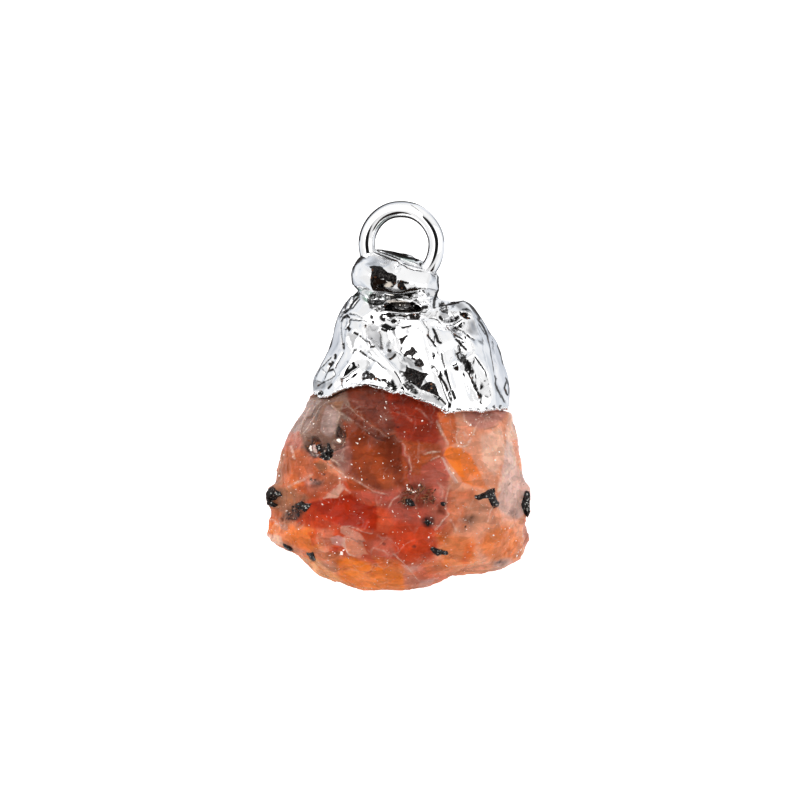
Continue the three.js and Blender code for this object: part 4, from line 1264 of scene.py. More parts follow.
def grainy(name, size, detail, colours, rough, bump, gloss):
    """A material that follows one crumbly grain between two colours and two degrees of roughness.
    Its bumps have a strength and a height."""
    material, tree, shader, where = new_material(name)
    mask, height = crumbly_grain(tree, where, size, detail)
    low, high = ((*colour, 1) for colour in colours)
    plug(
        tree, shader, Base_Color=blend_of(tree, mask, low, high), Specular_IOR_Level=gloss,
        Roughness=varied(tree, mask, *rough), Normal=bumped(tree, height, *bump),
    )
    return material, tree, shader, where


def black_mineral():
    """Black crystals, some of whose faces shine grey."""
    material, tree, shader, where = grainy(
        "black crystal", size=0.09, detail=4.0, colours=((0.004, 0.004, 0.005), (0.028, 0.02, 0.018)),
        rough=(0.2, 0.4), bump=(0.4, BUMP), gloss=0.15,
    )
    shiny = scattered_specks(tree, where, spacing=0.075, radius=0.8, share=0.17)
    dark, grey = shader.inputs["Base Color"].links[0].from_socket, (0.34, 0.34, 0.32, 1)
    colour = blend_of(tree, shiny, dark, grey)
    plug(tree, shader, Base_Color=colour, Metallic=times(tree, shiny, 0.8))
    return material


def rusty_needle():
    """Thin brown needles, darker at their thick ends."""
    return grainy(
        "rusty needle", size=0.12, detail=3.0, colours=((0.04, 0.01, 0.004), (0.42, 0.14, 0.05)),
        rough=(0.2, 0.45), bump=(0.3, BUMP), gloss=0.3,
    )[0]


def grain_with_painted_glow():
    """Pale, clear crumbs of feldspar with a faint painted glow, a painted highlight that stands in for their
    glints.
    """
    material, tree, shader, _ = grainy(
        "pale grain", size=0.1, detail=3.0, colours=((1.0, 0.86, 0.74), (1.0, 0.96, 0.92)),
        rough=(0.08, 0.3), bump=(0.3, BUMP), gloss=1.0,
    )
    # painted highlight: a faint glow makes the grains shine like glints
    plug(tree, shader, Emission_Color=(1.0, 0.9, 0.82, 1), Emission_Strength=0.35)
    return material


def platelet():
    """Bright copper platelets inside the stone, which give it its glitter."""
    return grainy(
        "bright platelet", size=1.3, detail=2.0, colours=((1.0, 0.86, 0.77), (0.9, 0.52, 0.36)),
        rough=(0.12, 0.3), bump=(0.2, BUMP / 2), gloss=1.0,
    )[0]


def plated(name, ripple, ripple_size, tarnish):
    """Bright plated metal: how strong its ripples are, their size, and how strong its green tarnish is; where
    that is set, it also shows painted shade and grime in creases and dark patches, and painted reflection
    greys.
    """
    plating = bpy.context.scene.charm_cap.plating
    material, tree, shader, where = new_material(name)
    fine, fine_height = crumbly_grain(tree, where, ripple_size, detail=3.0)
    broad, _ = crumbly_grain(tree, where, size=1.1, detail=2.0)
    colour = blend_of(tree, broad, (*(c * 0.95 for c in plating), 1), (*plating, 1))
    rough = varied(tree, fine, 0.015, 0.1 if tarnish else 0.04)
    if tarnish:
        # painted reflections and cream tone, laid over the plating's colour
        colour = blend_of(tree, 1.0, colour, painted(tree, "dulled", "Color"), "MULTIPLY")
        green = times(tree, painted(tree, "verdigris"), tarnish)
        colour = blend_of(tree, green, colour, (0.12, 0.24, 0.18, 1))
        # painted shade and grime: creases and dark patches go near black, mottled, with brown specks
        crumbly = times(tree, painted(tree, "crevice"), varied(tree, fine, 0.8, 1.2))
        near_black = ramp_of(tree, crumbly, 0.22, 0.62)
        lumps = ramp_of(tree, fine_height, 0.25, 0.6)
        dark_mottle = blend_of(tree, lumps, (0.007, 0.006, 0.006, 1), (0.07, 0.065, 0.062, 1))
        brown = scattered_specks(tree, where, spacing=0.17, radius=0.5, share=0.16)
        shade_and_grime_colour = blend_of(tree, brown, dark_mottle, (0.11, 0.05, 0.028, 1))
        colour = blend_of(tree, near_black, colour, shade_and_grime_colour)
        rough = maths(tree, "MULTIPLY_ADD", near_black, 0.3, rough)
    normal = bumped(tree, fine_height, ripple, BUMP)
    plug(tree, shader, Base_Color=colour, Roughness=rough, Normal=normal, Metallic=1.0)
    return material


# Pieces


def stone_relief(points, normals):
    """How far each point of the stone's skin moves outwards, its frost with painted highlights along the
    ledges, and where its front is.
    """
    settings = bpy.context.scene.charm_stone
    front = on_front(points, normals, *STONE_FRONT)
    flat = points[:, :2] + sway(points, 0.55, 3, 4) * 0.03
    polish = np.zeros(len(points))
    for soft, share, outline in SMOOTH_FACES:
        polish = np.maximum(polish, share * in_outline(flat, outline, soft))
    polish *= front
    shifted = points + 0.25 * sway(points, 0.8, 5, 6, 7)
    faces, edges = broken_faces(shifted, settings.facet, 1)
    small, small_edges = broken_faces(shifted, settings.facet * 0.38, 2)
    grain = mottle(points, 0.22, 8) * 0.2 + mottle(points, 0.1, 9) * 0.08
    rise = settings.relief * (1 - 0.9 * polish) * (1.3 * faces + 0.5 * small + 0.45 * grain)
    frost = 0.22 * smooth(-edges, -0.1, 0.0) * smooth(mottle(points, 1.1, 10), -0.1, 0.5) * (1 - polish)
    crumbs = 0.14 * smooth(-small_edges, -0.08, 0.0) * smooth(mottle(points, 0.9, 11), 0.05, 0.5)
    frost = np.maximum(frost, crumbs)
    for height, run, pale, width, line in LEDGES:
        off, along = from_line(flat, line)
        here = front * between_ends(along, 0.0, 0.06)
        up = off if height > 0 else -off
        step = smooth(up, -0.05, 0.05) * np.exp(-np.maximum(up, 0) / run) * (np.abs(off) < 4 * run)
        rise += here * (abs(height) * step + 0.015 * bell(off, 0.05))
        bright = bell(off, width) * (0.45 + 0.55 * smooth(mottle(points, 0.4, 12), -0.5, 0.4))
        haze = 0.12 * step * np.exp(-np.abs(off) / 0.15)
        frost = np.maximum(frost, here * min(1.0, 1.3 * pale) * np.maximum(bright, haze))
    for depth, middle, radii, turn in HOLLOWS:
        rise -= depth * front * in_oval(flat, middle, radii, turn, 0.22)
    for dark, width, line in CRACKS:
        off, _ = from_line(flat, line)
        rise -= 0.03 * dark * front * bell(off, 2 * width)
    return rise, np.clip(frost, 0, 1), front, flat


def tinted(colour, name, share):
    """A colour for each point, with a share of a named tint laid over it."""
    share = share[:, None]
    return colour * (1 - share) + linear(TINTS[name]) * share


def stone_tints(points, normals, front, flat):
    """The feldspar's colour at each point, with painted shade on its steep sides and painted light at its
    foot, how dark it is stained, and its milky wisps.
    """
    body = np.tile(np.array(bpy.context.scene.charm_stone.body_colour), (len(points), 1))
    drift = 0.6 + 0.4 * (0.5 + 0.5 * mottle(points, 2.6, 20))
    for name, low, high, size, seed in DRIFTS:
        body = tinted(body, name, 0.8 * smooth(mottle(points, size, seed), low, high) * drift)
    height, up = points[:, 2], normals[:, 2]
    depth = np.clip(5.5 - height, 0, 4)[:, None]
    wander = sway(points, 0.9, 13, 14) * (0.03 + 0.035 * depth) + sway(points, 0.3, 15, 16) * 0.03
    place = points[:, :2] + wander
    colour = body
    for name, soft, share, outline in PATCHES:
        colour = tinted(colour, name, share * in_outline(place, outline, soft))
    seen = smooth(height, 1.6, 3.4)
    colour = body + (colour - body) * seen[:, None]
    foot = smooth(-points[:, 1], 7.2, 8.4)
    # painted shade: the steep sides below the front are tinted towards rust, darker along the outline
    painted_edge_shade = 0.35 * smooth(0.3 - up, 0.0, 0.25) * smooth(height, 2.4, 3.4) * (1 - foot)
    colour = tinted(colour, "rust", painted_edge_shade)
    # painted light: the steep sides at the stone's foot are tinted peach, as if lit from below
    glow = 0.45 * smooth(0.5 - up, 0.0, 0.35) * smooth(height, 1.4, 2.4) * foot
    colour = tinted(colour, "peach", glow)
    stain = smooth(mottle(points, 0.7, 26), 0.62, 0.74) * (1 - seen)
    down = on_front(points, normals, *STAINED_FRONT)
    for dark, soft, middle, radii, turn in STAINS:
        uneven = 1 if soft < 0.2 else 0.95 + 0.4 * mottle(points, 0.2, 17)
        mask = in_oval(flat + 5 * soft * wander, middle, radii, turn, soft)
        stain = np.maximum(stain, dark * mask * uneven * down)
    for dark, width, line in CRACKS:
        off, _ = from_line(flat, line)
        stain = np.maximum(stain, dark * front * bell(off, width))
    for _, outline in CRYSTALS:
        stain = np.maximum(stain, in_outline(flat, outline, 0.05) * smooth(height, 2.8, 3.4))
    wisps = 0.15 * smooth(mottle(points, 1.8, 27), 0.2, 0.7)
    for soft, share, outline in MILKY:
        wisps = np.maximum(wisps, 0.3 * share * in_outline(place, outline, soft) * seen)
    return colour, stain, wisps


class CHARM_OT_stone(bpy.types.Operator):
    """Breaks the stone's surface into cleavage plates, ledges and crumbs, and gives it its colours"""

    bl_idname = "charm.stone"
    bl_label = "Sunstone"

    def execute(self, context):
        mesh = skin_of("stone", context.scene.charm_stone.grid)
        soften(mesh, 3, hold=held_at_foot(read(mesh)))
        refine(mesh, 3.0)
        refine(mesh, 3.3, facing=0.3)
        soften(mesh, 1, hold=held_at_foot(read(mesh)))
        points, normals = shape_of(mesh)
        rise, frost, front, flat = stone_relief(points, normals)
        tint, stain, wisps = stone_tints(points, normals, front, flat)
        off_table = smooth(points[:, 2], 0.0, 0.5)
        bare = 1 - smooth(points[:, 1], -0.1, 0.5)
        moved = points + normals * (rise * off_table * bare)[:, None]
        write(mesh, kept_in(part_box("stone"), moved))
        paint(mesh, tint=tint, frost=frost, stain=stain, wisps=wisps)
        mesh.shade_smooth()
        settle("stone_broken", mesh, feldspar(), replaces="stone")
        return {"FINISHED"}


def shard(bm, middle, radii, turn, chance, corners=8):
    """Adds one angular piece: the hull of a few points round its middle, tipped a little either way."""
    cloud = chance.normal(size=(corners, 3))
    cloud /= np.linalg.norm(cloud, axis=1)[:, None]
    cloud *= np.asarray(radii) * chance.uniform(0.75, 1.05, size=(corners, 1))
    spin = Euler((chance.uniform(-0.5, 0.5), chance.uniform(-0.5, 0.5), turn)).to_matrix()
    verts = [bm.verts.new(spin @ Vector(c) + middle) for c in cloud]
    hull = bmesh.ops.convex_hull(bm, input=verts)
    left = {v for v in (*hull["geom_interior"], *hull["geom_unused"]) if isinstance(v, bmesh.types.BMVert)}
    bmesh.ops.delete(bm, geom=list(left), context="VERTS")


def met_on(tree, x, y, side=1):
    """The highest point of a surface over a place, or its lowest one if side is -1."""
    return tree.ray_cast(Vector((x, y, FAR_OFF * side)), Vector((0, 0, -side)))[0]


def scattered(tree, middle, reach, count, chance):
    """Points of a surface round a middle, each with its shift from there."""
    for _ in range(count):
        shift = chance.uniform(-1, 1, size=2) * reach
        spot = met_on(tree, *(places(middle)[0] + shift))
        if spot is not None:
            yield shift, spot


def crust(bm, tree, outline, rise, chance):
    """Adds a flat-sided crystal with this outline that stands out of the surface below it."""
    uneven, sunk, deepest = 0.012, 0.08, 0.12
    corners = places(outline)
    between = (corners + np.roll(corners, -1, axis=0)) / 2
    rim = np.stack([corners, between], axis=1).reshape(-1, 2)
    rim += chance.normal(size=rim.shape) * uneven
    middle = corners.mean(axis=0)
    spot = met_on(tree, *middle)
    if spot is None:
        return
    foot, edge, inner = [], [], []
    for x, y in rim:
        z = (met_on(tree, x, y) or spot).z
        u, v = middle + ((x, y) - middle) * chance.uniform(0.45, 0.65)
        foot.append(bm.verts.new((x, y, z - sunk)))
        edge.append(bm.verts.new((x, y, z + 0.3 * rise)))
        inner.append(bm.verts.new((u, v, (z + spot.z) / 2 + rise * chance.uniform(0.6, 1.3))))
    top = bm.verts.new((*middle, spot.z + rise * chance.uniform(0.7, 1.2)))
    base = bm.verts.new((*middle, spot.z - deepest))
    for i in range(len(rim)):
        n = (i + 1) % len(rim)
        for low, high in ((foot, edge), (edge, inner)):
            bm.faces.new((low[i], low[n], high[n]))
            bm.faces.new((low[i], high[n], high[i]))
        bm.faces.new((inner[i], inner[n], top))
        bm.faces.new((foot[n], foot[i], base))


class CHARM_OT_crystals(bpy.types.Operator):
    """Sets the black crystals, the brown needles and the bright grains into the stone"""

    bl_idname = "charm.crystals"
    bl_label = "Crystals and grains"

    def execute(self, context):
        chance = np.random.default_rng(context.scene.charm_crystals.seed)
        stone = tree_of(bpy.data.objects["stone_broken"])
        black, brown, pale = bmesh.new(), bmesh.new(), bmesh.new()
        for rise, outline in CRYSTALS:
            crust(black, stone, outline, rise, chance)
        for x, y, half, wide, turn in BRIGHT_GRAINS_AND_GLINTS:
            spot = met_on(stone, *places((x, y))[0])
            if spot is not None:
                radii = (half, wide, min(wide, GRAIN_DEPTH))
                shard(pale, spot + Vector((0, 0, GRAIN_DEPTH / 2)), radii, math.radians(turn), chance)
        for _, spot in scattered(stone, *CRUMBS, chance):
            size = chance.uniform(0.04, 0.085)
            shard(pale, spot, (size * 1.4, size, size * 0.6), chance.uniform(0, 3.1), chance)
        for middle, reach, count in NEEDLES:
            for (u, v), spot in scattered(stone, middle, reach, count, chance):
                thin, half = chance.uniform(0.03, 0.055), chance.uniform(0.14, 0.32)
                turn = math.atan2(v, u) + chance.uniform(-0.5, 0.5)
                shard(brown, spot + Vector((0, 0, thin)), (half, thin, thin), turn, chance, 7)
        for name, bm, finish in (
            ("black_crystals", black, black_mineral()),
            ("brown_needles", brown, rusty_needle()),
            ("pale_grains", pale, grain_with_painted_glow()),
        ):
            bmesh.ops.recalc_face_normals(bm, faces=bm.faces)
            settle(name, mesh_from(bm, name), finish)
        return {"FINISHED"}


def geometry_tree(name, *inputs):
    """A geometry node tree that takes a geometry and named values, and gives a geometry."""
    kind = "NodeSocketGeometry"
    return new_tree(name, "GeometryNodeTree", [("Geometry", kind, None), *inputs], [("Geometry", kind)])


def random_vector(tree, low, high, seed):
    inputs = {"Min": low, "Max": high, "Seed": seed}
    return put(tree, "FunctionNodeRandomValue", {"data_type": "FLOAT_VECTOR"}, **inputs).outputs[0]


def copies_on(tree, end, finish, **inputs):
    """Ends a tree with a turned and scaled copy of a shape on each point."""
    placed = put(tree, "GeometryNodeInstanceOnPoints", **inputs).outputs[0]
    real = put(tree, "GeometryNodeRealizeInstances", Geometry=placed).outputs[0]
    plug(tree, end, Geometry=put(tree, "GeometryNodeSetMaterial", Geometry=real, Material=finish).outputs[0])


def grown(name, source, tree, **values):
    """The mesh that a geometry node tree makes of a mesh, as a plain mesh in millimetres."""
    carrier = new_object(name + "_source", source)
    modifier = carrier.modifiers.new("grow", "NODES")
    modifier.node_group = tree
    for socket in tree.interface.items_tree:
        if socket.name in values:
            modifier[socket.identifier] = values[socket.name]
    mesh = evaluated(carrier)
    bpy.data.objects.remove(carrier)
    bpy.data.meshes.remove(source)
    mesh.transform(Matrix.Scale(1 / MM, 4))
    return mesh


class CHARM_OT_glints(bpy.types.Operator):
    """Scatters tiny bright platelets over the stone"""

    bl_idname = "charm.glints"
    bl_label = "Glints"

    def execute(self, context):
        settings = context.scene.charm_crystals
        finish = platelet()
        tree, start, end = geometry_tree(
            "scatter platelets",
            ("Density", "NodeSocketFloat", 1e6),
            ("Size", "NodeSocketFloat", 0.00005),
            ("Seed", "NodeSocketInt", 0),
            ("Finish", "NodeSocketMaterial", None),
        )
        given = start.outputs
        kind = {"data_type": "FLOAT"}
        glitter = put(tree, "GeometryNodeInputNamedAttribute", kind, Name="glitter").outputs[0]
        density = times(tree, given["Density"], glitter)
        inputs = {"Mesh": given["Geometry"], "Density": density, "Seed": given["Seed"]}
        points = put(tree, "GeometryNodeDistributePointsOnFaces", **inputs).outputs
        thick = times(tree, given["Size"], 0.5)
        plate = put(tree, "GeometryNodeMeshCylinder", Vertices=6, Radius=given["Size"], Depth=thick)
        tip = random_vector(tree, (-0.9, -0.9, -3.1), (0.9, 0.9, 3.1), 3)
        local = {"rotation_space": "LOCAL"}
        turned = put(tree, "FunctionNodeRotateRotation", local, Rotation=points["Rotation"], Rotate_By=tip)
        size = random_vector(tree, (0.3, 0.25, 0.5), (1.6, 0.6, 1.0), 5)
        copies_on(
            tree, end, given["Finish"], Points=points["Points"], Instance=plate.outputs["Mesh"],
            Rotation=turned.outputs[0], Scale=size,
        )
        source = bpy.data.objects["stone_broken"].data.copy()
        spots = read(source) / MM
        bare = 1 - smooth(spots[:, 1], -1.0, -0.6)
        patchy = 0.25 + 0.75 * smooth(mottle(spots, 1.4, 31), -0.4, 0.4)
        paint(source, glitter=bare * patchy * smooth(spots[:, 2], 0.6, 2.0))
        values = {"Density": settings.glints * 1e6, "Size": settings.glint_size, "Seed": settings.seed}
        settle("glints", grown("glints", source, tree, Finish=finish, **values), finish)
        return {"FINISHED"}


def cap_relief(points, normals):
    """How far each point of the skin moves outwards, its painted shade and grime in creases and dark patches,
    and its painted reflection greys and cream tone.
    """
    settings = bpy.context.scene.charm_cap
    outside = on_front(points, normals, *CAP_FRONT)
    flat = points[:, :2] + sway(points, 0.5, 41, 42) * 0.03
    long = points * (1.0, 0.45, 1.0)
    wrinkle = 0.9 * mottle(long, 0.45, 43) + 0.3 * mottle(long, 0.22, 44) + 0.7 * mottle(points, 1.1, 45)
    knob = smooth(points[:, 1], 4.6, 5.1)
    rise = settings.wrinkle * wrinkle * (1 - 0.75 * knob) * np.where(outside > 0, 1.0, 0.6)
    crevice = np.zeros(len(points))
    for height, width, line in FOLDS:
        off, along = from_line(flat, line)
        rise += height * bell(off, width) * outside * (0.3 + 0.7 * between_ends(along, 0.0, 0.15))
    # painted shade along each crease, as well as the crease sunk into the skin
    for dark, width, line in CREASES:
        off, along = from_line(flat, line)
        ends = between_ends(along, -0.02, 0.08)
        cut = bell(off, 1.15 * width + 0.012) * outside * (0.3 + 0.7 * ends)
        rise -= 0.045 * bell(off, 1.5 * width) * outside * ends
        crevice = np.maximum(crevice, dark * cut * smooth(mottle(points, 0.3, 46), -1.3, -0.5))
    for depth, middle, radii, turn in PITS:
        rise -= depth * in_oval(flat, middle, radii, turn, 0.14) * outside
    ragged = [mottle(points, size, 49) + 0.6 * mottle(points, size / 2, 50) for size in (0.24, 0.2)]
    ragged = np.stack(ragged, axis=1)
    speckle = mottle(points, 0.13, 51)
    # dark patches, partly grime and partly painted shade and dark reflections
    for dark, soft, outline in SHADE_AND_GRIME_PATCHES:
        mask = in_outline(flat + 0.02 * ragged, outline, soft) * outside
        holes = smooth(speckle, -1.0, 0.1) if dark < 1 else smooth(speckle, -0.95, -0.55)
        crevice = np.maximum(crevice, dark * mask * holes)
        rise += 0.012 * mask * mottle(points, 0.13, 47)
    dulled = np.ones((len(points), 3))
    uneven = outside * (0.75 + 0.35 * mottle(points, 0.35, 52))
    # painted reflections: greyer places where the plating mirrors darker surroundings
    for grey, soft, outline in PAINTED_REFLECTION_GREYS:
        mask = (in_outline(flat + 0.04 * ragged, outline, soft + 0.06) * uneven)[:, None]
        dulled *= 1 - mask * (1 - linear(255 * np.array([grey, grey, grey * 1.01])) / linear(245))
    for share, outline in CREAM:
        mask = (share * in_outline(flat, outline, 0.08) * outside)[:, None]
        dulled = dulled * (1 - mask) + mask * (0.8, 0.66, 0.5)
        crevice *= 1 - mask[:, 0]
    rise = np.maximum(rise, settings.deepest * np.tanh(rise / settings.deepest))
    return rise, crevice, dulled


def walls_behind(mesh, points, normals, rise):
    """How thick the skin is behind each point that would sink, or a large number elsewhere."""
    tree = BVHTree.FromPolygons([Vector(p) for p in points], [p.vertices[:] for p in mesh.polygons])
    thick = np.full(len(points), FAR)
    for i in np.flatnonzero((rise < 0) & (points[:, 2] > UPPER)):
        inward = -Vector(normals[i])
        spot, _, _, far = tree.ray_cast(Vector(points[i]) + inward * 0.01, inward)
        if spot is not None:
            thick[i] = far
    return thick


class CHARM_OT_cap(bpy.types.Operator):
    """Wrinkles the plated skin over the stone's top and the knob round the ring"""

    bl_idname = "charm.cap"
    bl_label = "Plated cap"

    def execute(self, context):
        mesh = skin_of("cap", context.scene.charm_cap.grid)
        soften(mesh, 14)
        refine(mesh, 3.0)
        soften(mesh, 4)
        points, normals = shape_of(mesh)
        rise, crevice, dulled = cap_relief(points, normals)
        rise = np.maximum(rise, THINNEST - walls_behind(mesh, points, normals, rise))
        off_table = smooth(points[:, 2], 0.0, 0.4)
        write(mesh, points + normals * (rise * off_table)[:, None])
        soften(mesh, 1)
        write(mesh, kept_in(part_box("cap"), read(mesh)))
        green = np.zeros(len(points))
        for middle, radii, turn in VERDIGRIS:
            spot = in_oval(points[:, :2], middle, radii, turn, 0.15)
            green = np.maximum(green, spot * (points[:, 2] > UPPER))
        paint(mesh, crevice=crevice, dulled=dulled, verdigris=green)
        mesh.shade_smooth()
        finish = plated("plated skin", ripple=0.35, ripple_size=0.1, tarnish=0.8)
        settle("cap_skin", mesh, finish, replaces="cap")
        return {"FINISHED"}


def rim_path():
    """The rim of the plated skin on its front and back, as lines of points on its surface."""
    cap = tree_of(bpy.data.objects["cap_skin"])
    chance = np.random.default_rng(RIM_SEED)
    bm = bmesh.new()
    for rim, side in ((RIM_FRONT, 1), (RIM_BACK, -1)):
        last = None
        line = np.asarray(rim, float)
        for t in np.linspace(0, len(line) - 1, RIM_STEPS):
            i = min(int(t), len(line) - 2)
            x, y = line[i] + (t - i) * (line[i + 1] - line[i])
            spot = met_on(cap, x, y + RIM_LIFT + RIM_WANDER * chance.normal(), side)
            if spot is None or (side > 0) != (spot.z > SEAM):
                last = None
                continue
            vert = bm.verts.new(spot * MM)
            if last is not None and (vert.co - last.co).length < RIM_GAP * MM:
                bm.edges.new((last, vert))
            last = vert
    return mesh_from(bm, "rim_path")


class CHARM_OT_rim_beads(bpy.types.Operator):
    """Beads of metal along the ragged rim of the plated skin"""

    bl_idname = "charm.rim_beads"
    bl_label = "Rim beads"

    def execute(self, context):
        path = rim_path()
        finish = plated("plated beads", ripple=0.2, ripple_size=0.08, tarnish=0.0)
        tree, start, end = geometry_tree(
            "beads along a line",
            ("Spacing", "NodeSocketFloat", 0.0001),
            ("Radius", "NodeSocketFloat", 0.00008),
            ("Seed", "NodeSocketInt", 0),
            ("Finish", "NodeSocketMaterial", None),
        )
        given = start.outputs
        curve = put(tree, "GeometryNodeMeshToCurve", Mesh=given["Geometry"]).outputs[0]
        mode = {"mode": "LENGTH"}
        even = put(tree, "GeometryNodeResampleCurve", mode, Curve=curve, Length=given["Spacing"]).outputs[0]
        ball = put(tree, "GeometryNodeMeshUVSphere", Segments=8, Rings=6, Radius=given["Radius"])
        size = random_vector(tree, (0.25, 0.25, 0.25), (1.3, 1.0, 0.8), given["Seed"])
        turn = random_vector(tree, (-3.1, -3.1, -3.1), (3.1, 3.1, 3.1), 9)
        copies_on(
            tree, end, given["Finish"], Points=even, Instance=ball.outputs["Mesh"], Rotation=turn, Scale=size,
        )
        values = {"Spacing": 0.00011, "Radius": context.scene.charm_cap.bead, "Seed": 4, "Finish": finish}
        mesh = grown("rim_beads", path, tree, **values)
        mesh.shade_smooth()
        settle("rim_beads", mesh, finish)
        return {"FINISHED"}


class CHARM_OT_ring(bpy.types.Operator):
    """Bends the round wire ring that the cap's knob holds"""

    bl_idname = "charm.ring"
    bl_label = "Wire ring"

    def execute(self, context):
        settings = context.scene.charm_ring
        low, high = (np.array(corner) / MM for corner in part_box("ring"))
        radius, wire = settings.radius / MM, settings.wire / MM
        lean = Euler((settings.lean, settings.turn, 0)).to_matrix().to_4x4()
        place = Matrix.Translation((low + high) / 2) @ lean
        around, across = 144, 40
        bm = bmesh.new()
        rows = []
        for i in range(around):
            a = 2 * math.pi * i / around
            out = Vector((math.cos(a), math.sin(a), 0))
            reach = radius * (1 + 0.004 * math.sin(3 * a + 0.6) + 0.003 * math.sin(7 * a))
            rows.append([])
            for k in range(across):
                b = 2 * math.pi * k / across
                girth = wire * (1 + 0.006 * math.sin(5 * a + 2 * b) + 0.004 * math.sin(11 * a - b))
                spot = out * (reach + girth * math.cos(b)) + Vector((0, 0, girth * math.sin(b)))
                rows[i].append(bm.verts.new(place @ spot))
        for i, k in product(range(around), range(across)):
            n, m = (i + 1) % around, (k + 1) % across
            bm.faces.new((rows[i][k], rows[n][k], rows[n][m], rows[i][m]))
        bmesh.ops.recalc_face_normals(bm, faces=bm.faces)
        mesh = mesh_from(bm, "ring_wire")
        mesh.shade_smooth()
        finish = plated("plated wire", ripple=0.06, ripple_size=0.25, tarnish=0.0)
        settle("ring_wire", mesh, finish, replaces="ring")
        return {"FINISHED"}


# Stage


def tent(sky):
    """A white tent with a dark gap overhead, another past the stone's foot, and folds in its cloth."""
    world = bpy.data.worlds.new("white tent")
    world.use_nodes = True
    tree = world.node_tree
    way = put(tree, "ShaderNodeTexCoord").outputs["Generated"]
    x, y, z = put(tree, "ShaderNodeSeparateXYZ", Vector=way).outputs
    # from overhead outwards: the gap, the grey of the tent's crown, then its white sides
    crown = greys_of(tree, maths(tree, "ARCCOSINE", z), CROWN)
    folds = ramp_of(tree, noise(tree, way, scale=1.7, detail=1.0).outputs[0], 0.36, 0.6, 0.88, 1.0)
    # towards the foot: dark from about 44 to 86 degrees from overhead, and about 43 to each side
    towards = maths(tree, "MAXIMUM", times(tree, y, -1.0), 0.02)
    across = maths(tree, "DIVIDE", maths(tree, "ABSOLUTE", x), towards)
    band = times(tree, ramp_of(tree, z, 0.03, 0.1), ramp_of(tree, z, 0.68, 0.76, 1.0, 0.0))
    foot = times(tree, band, ramp_of(tree, across, 0.8, 1.05, 1.0, 0.0))
    lit = blend_of(tree, 1.0, crown, folds, "MULTIPLY")
    colour = blend_of(tree, foot, lit, (0.012, 0.007, 0.005, 1))
    # mirrors see the tent itself, and dull surfaces its even, dimmer light
    mirrored = put(tree, "ShaderNodeLightPath").outputs["Is Glossy Ray"]
    even = ramp_of(tree, y, -0.9, 0.9, 1.2, 0.84)
    seen = blend_of(tree, mirrored, even, colour)
    strength = varied(tree, mirrored, sky * DULL_SHARE, sky)
    plug(tree, tree.nodes["Background"], Color=seen, Strength=strength)
    return world


def floor_finish():
    """A bright pale floor that looks dark in reflections right round the charm, and grey beyond."""
    material, tree, shader, where = new_material("pale floor")
    grain, _ = crumbly_grain(tree, where, size=2.0, detail=3.0)
    pale = blend_of(tree, grain, (0.93, 0.93, 0.93, 1), (0.95, 0.95, 0.95, 1))
    plug(tree, shader, Base_Color=pale, Roughness=0.7)
    glow = put(tree, "ShaderNodeEmission", Color=(1, 1, 1, 1), Strength=0.8).outputs[0]
    lit = put(tree, "ShaderNodeAddShader", s0=shader.outputs[0], s1=glow).outputs[0]
    x, y, _ = put(tree, "ShaderNodeSeparateXYZ", Vector=where).outputs
    # the dark reaches further out beside the ring than beside the cap
    wide = maths(tree, "DIVIDE", maths(tree, "ABSOLUTE", x), ramp_of(tree, y, 7.8, 8.8, 7.4, 16.0))
    long = maths(tree, "DIVIDE", maths(tree, "ABSOLUTE", y), 22.0)
    # and leaves a bright pane beyond the cap's right shoulder
    pane = times(tree, ramp_of(tree, x, 2.2, 3.0), ramp_of(tree, y, 6.0, 7.0))
    pane = times(tree, pane, ramp_of(tree, x, 6.5, 8.0, 1.5, 0.0))
    far = maths(tree, "ADD", maths(tree, "MAXIMUM", wide, long), pane)
    shadow = blend_of(tree, ramp_of(tree, far, 0.6, 1.0), (0.04, 0.036, 0.036, 1), (0.7, 0.74, 0.8, 1))
    seen = blend_of(tree, ramp_of(tree, far, 1.0, 1.8), shadow, (0.95, 0.97, 1.0, 1))
    shade = put(tree, "ShaderNodeEmission", Color=seen, Strength=1.0).outputs[0]
    mirrored = put(tree, "ShaderNodeLightPath").outputs["Is Glossy Ray"]
    mixed = put(tree, "ShaderNodeMixShader", s0=mirrored, s1=lit, s2=shade).outputs[0]
    plug(tree, tree.nodes["Material Output"], Surface=mixed)
    return material


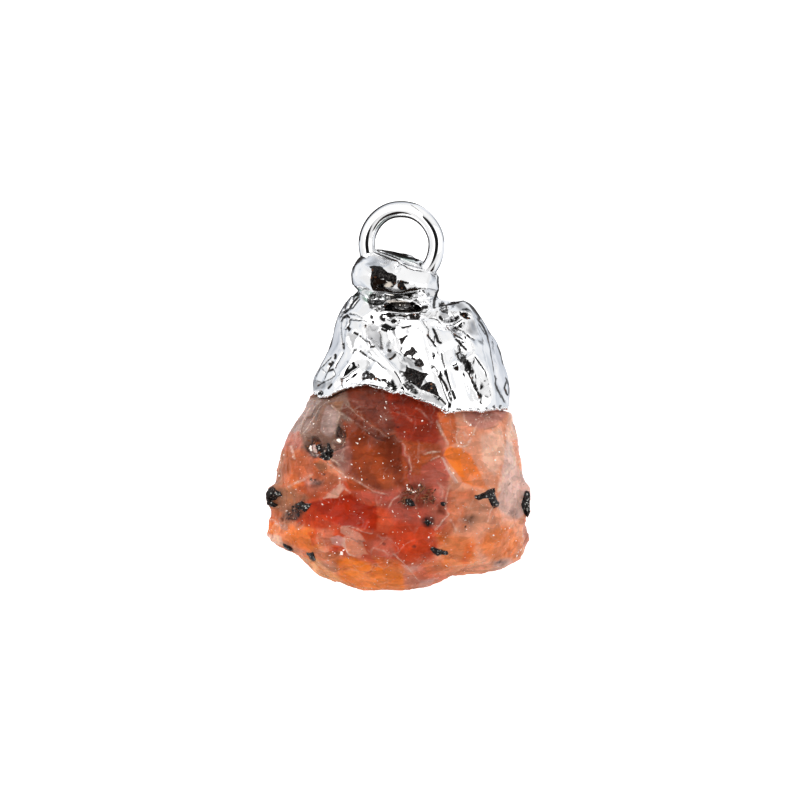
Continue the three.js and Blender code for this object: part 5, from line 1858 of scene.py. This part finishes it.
class CHARM_OT_stage(bpy.types.Operator):
    """Sets up the pale floor, the white tent, the lights and the camera that looks down on the charm"""

    bl_idname = "charm.stage"
    bl_label = "Stage"

    def execute(self, context):
        settings = context.scene.charm_stage
        scene = context.scene
        scene.view_settings.view_transform = "Standard"
        scene.world = tent(settings.sky)
        bm = bmesh.new()
        bmesh.ops.create_circle(bm, cap_ends=True, segments=64, radius=settings.floor_radius)
        floor = new_object("floor", mesh_from(bm, "floor"))
        floor.data.materials.append(floor_finish())
        floor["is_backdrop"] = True
        for name, place, size, power in LAMPS:
            light = bpy.data.lights.new(name, "AREA")
            light.size, light.energy = size, power
            lamp = new_object(name, light)
            lamp.location = place
            lamp.rotation_euler = Vector(place).to_track_quat("Z", "Y").to_euler()
        camera = bpy.data.cameras.new("camera")
        camera.sensor_width = SENSOR
        camera.lens = SENSOR * settings.height / settings.frame_width
        camera.clip_start, camera.clip_end = 0.01, 10
        scene.camera = new_object("camera", camera)
        scene.camera.location = Vector(AIM) * MM + Vector((0, 0, settings.height))
        return {"FINISHED"}


# Add-on

MAKERS = (
    CHARM_OT_stone, CHARM_OT_crystals, CHARM_OT_glints, CHARM_OT_cap, CHARM_OT_rim_beads, CHARM_OT_ring,
    CHARM_OT_stage,
)
SETTINGS = (
    ("charm_stone", StoneSettings), ("charm_crystals", CrystalSettings), ("charm_cap", CapSettings),
    ("charm_ring", RingSettings), ("charm_stage", StageSettings),
)


class CHARM_PT_panel(bpy.types.Panel):
    """Lists the charm's pieces and their sizes"""

    bl_idname = "CHARM_PT_panel"
    bl_label = "Sunstone Charm"
    bl_space_type = "VIEW_3D"
    bl_region_type = "UI"
    bl_category = "Sunstone Charm"

    def draw(self, context):
        for maker in MAKERS:
            self.layout.operator(maker.bl_idname)
        for name, group in SETTINGS:
            box = self.layout.box()
            for key in group.__annotations__:
                box.prop(getattr(context.scene, name), key)


def register():
    for group in (pair[1] for pair in SETTINGS):
        bpy.utils.register_class(group)
    for name, group in SETTINGS:
        setattr(bpy.types.Scene, name, PointerProperty(type=group))
    for maker in (*MAKERS, CHARM_PT_panel):
        bpy.utils.register_class(maker)


def unregister():
    for maker in reversed((*MAKERS, CHARM_PT_panel)):
        bpy.utils.unregister_class(maker)
    for name, group in reversed(SETTINGS):
        delattr(bpy.types.Scene, name)
        bpy.utils.unregister_class(group)


def main():
    register()
    for maker in MAKERS:
        family, name = maker.bl_idname.split(".")
        getattr(getattr(bpy.ops, family), name)()
    boxes = {"cad": CAD_BOX, "visual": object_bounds()}
    {key: [list(corner) for corner in box] for key, box in boxes.items()}


if __name__ == "__main__":
    main()
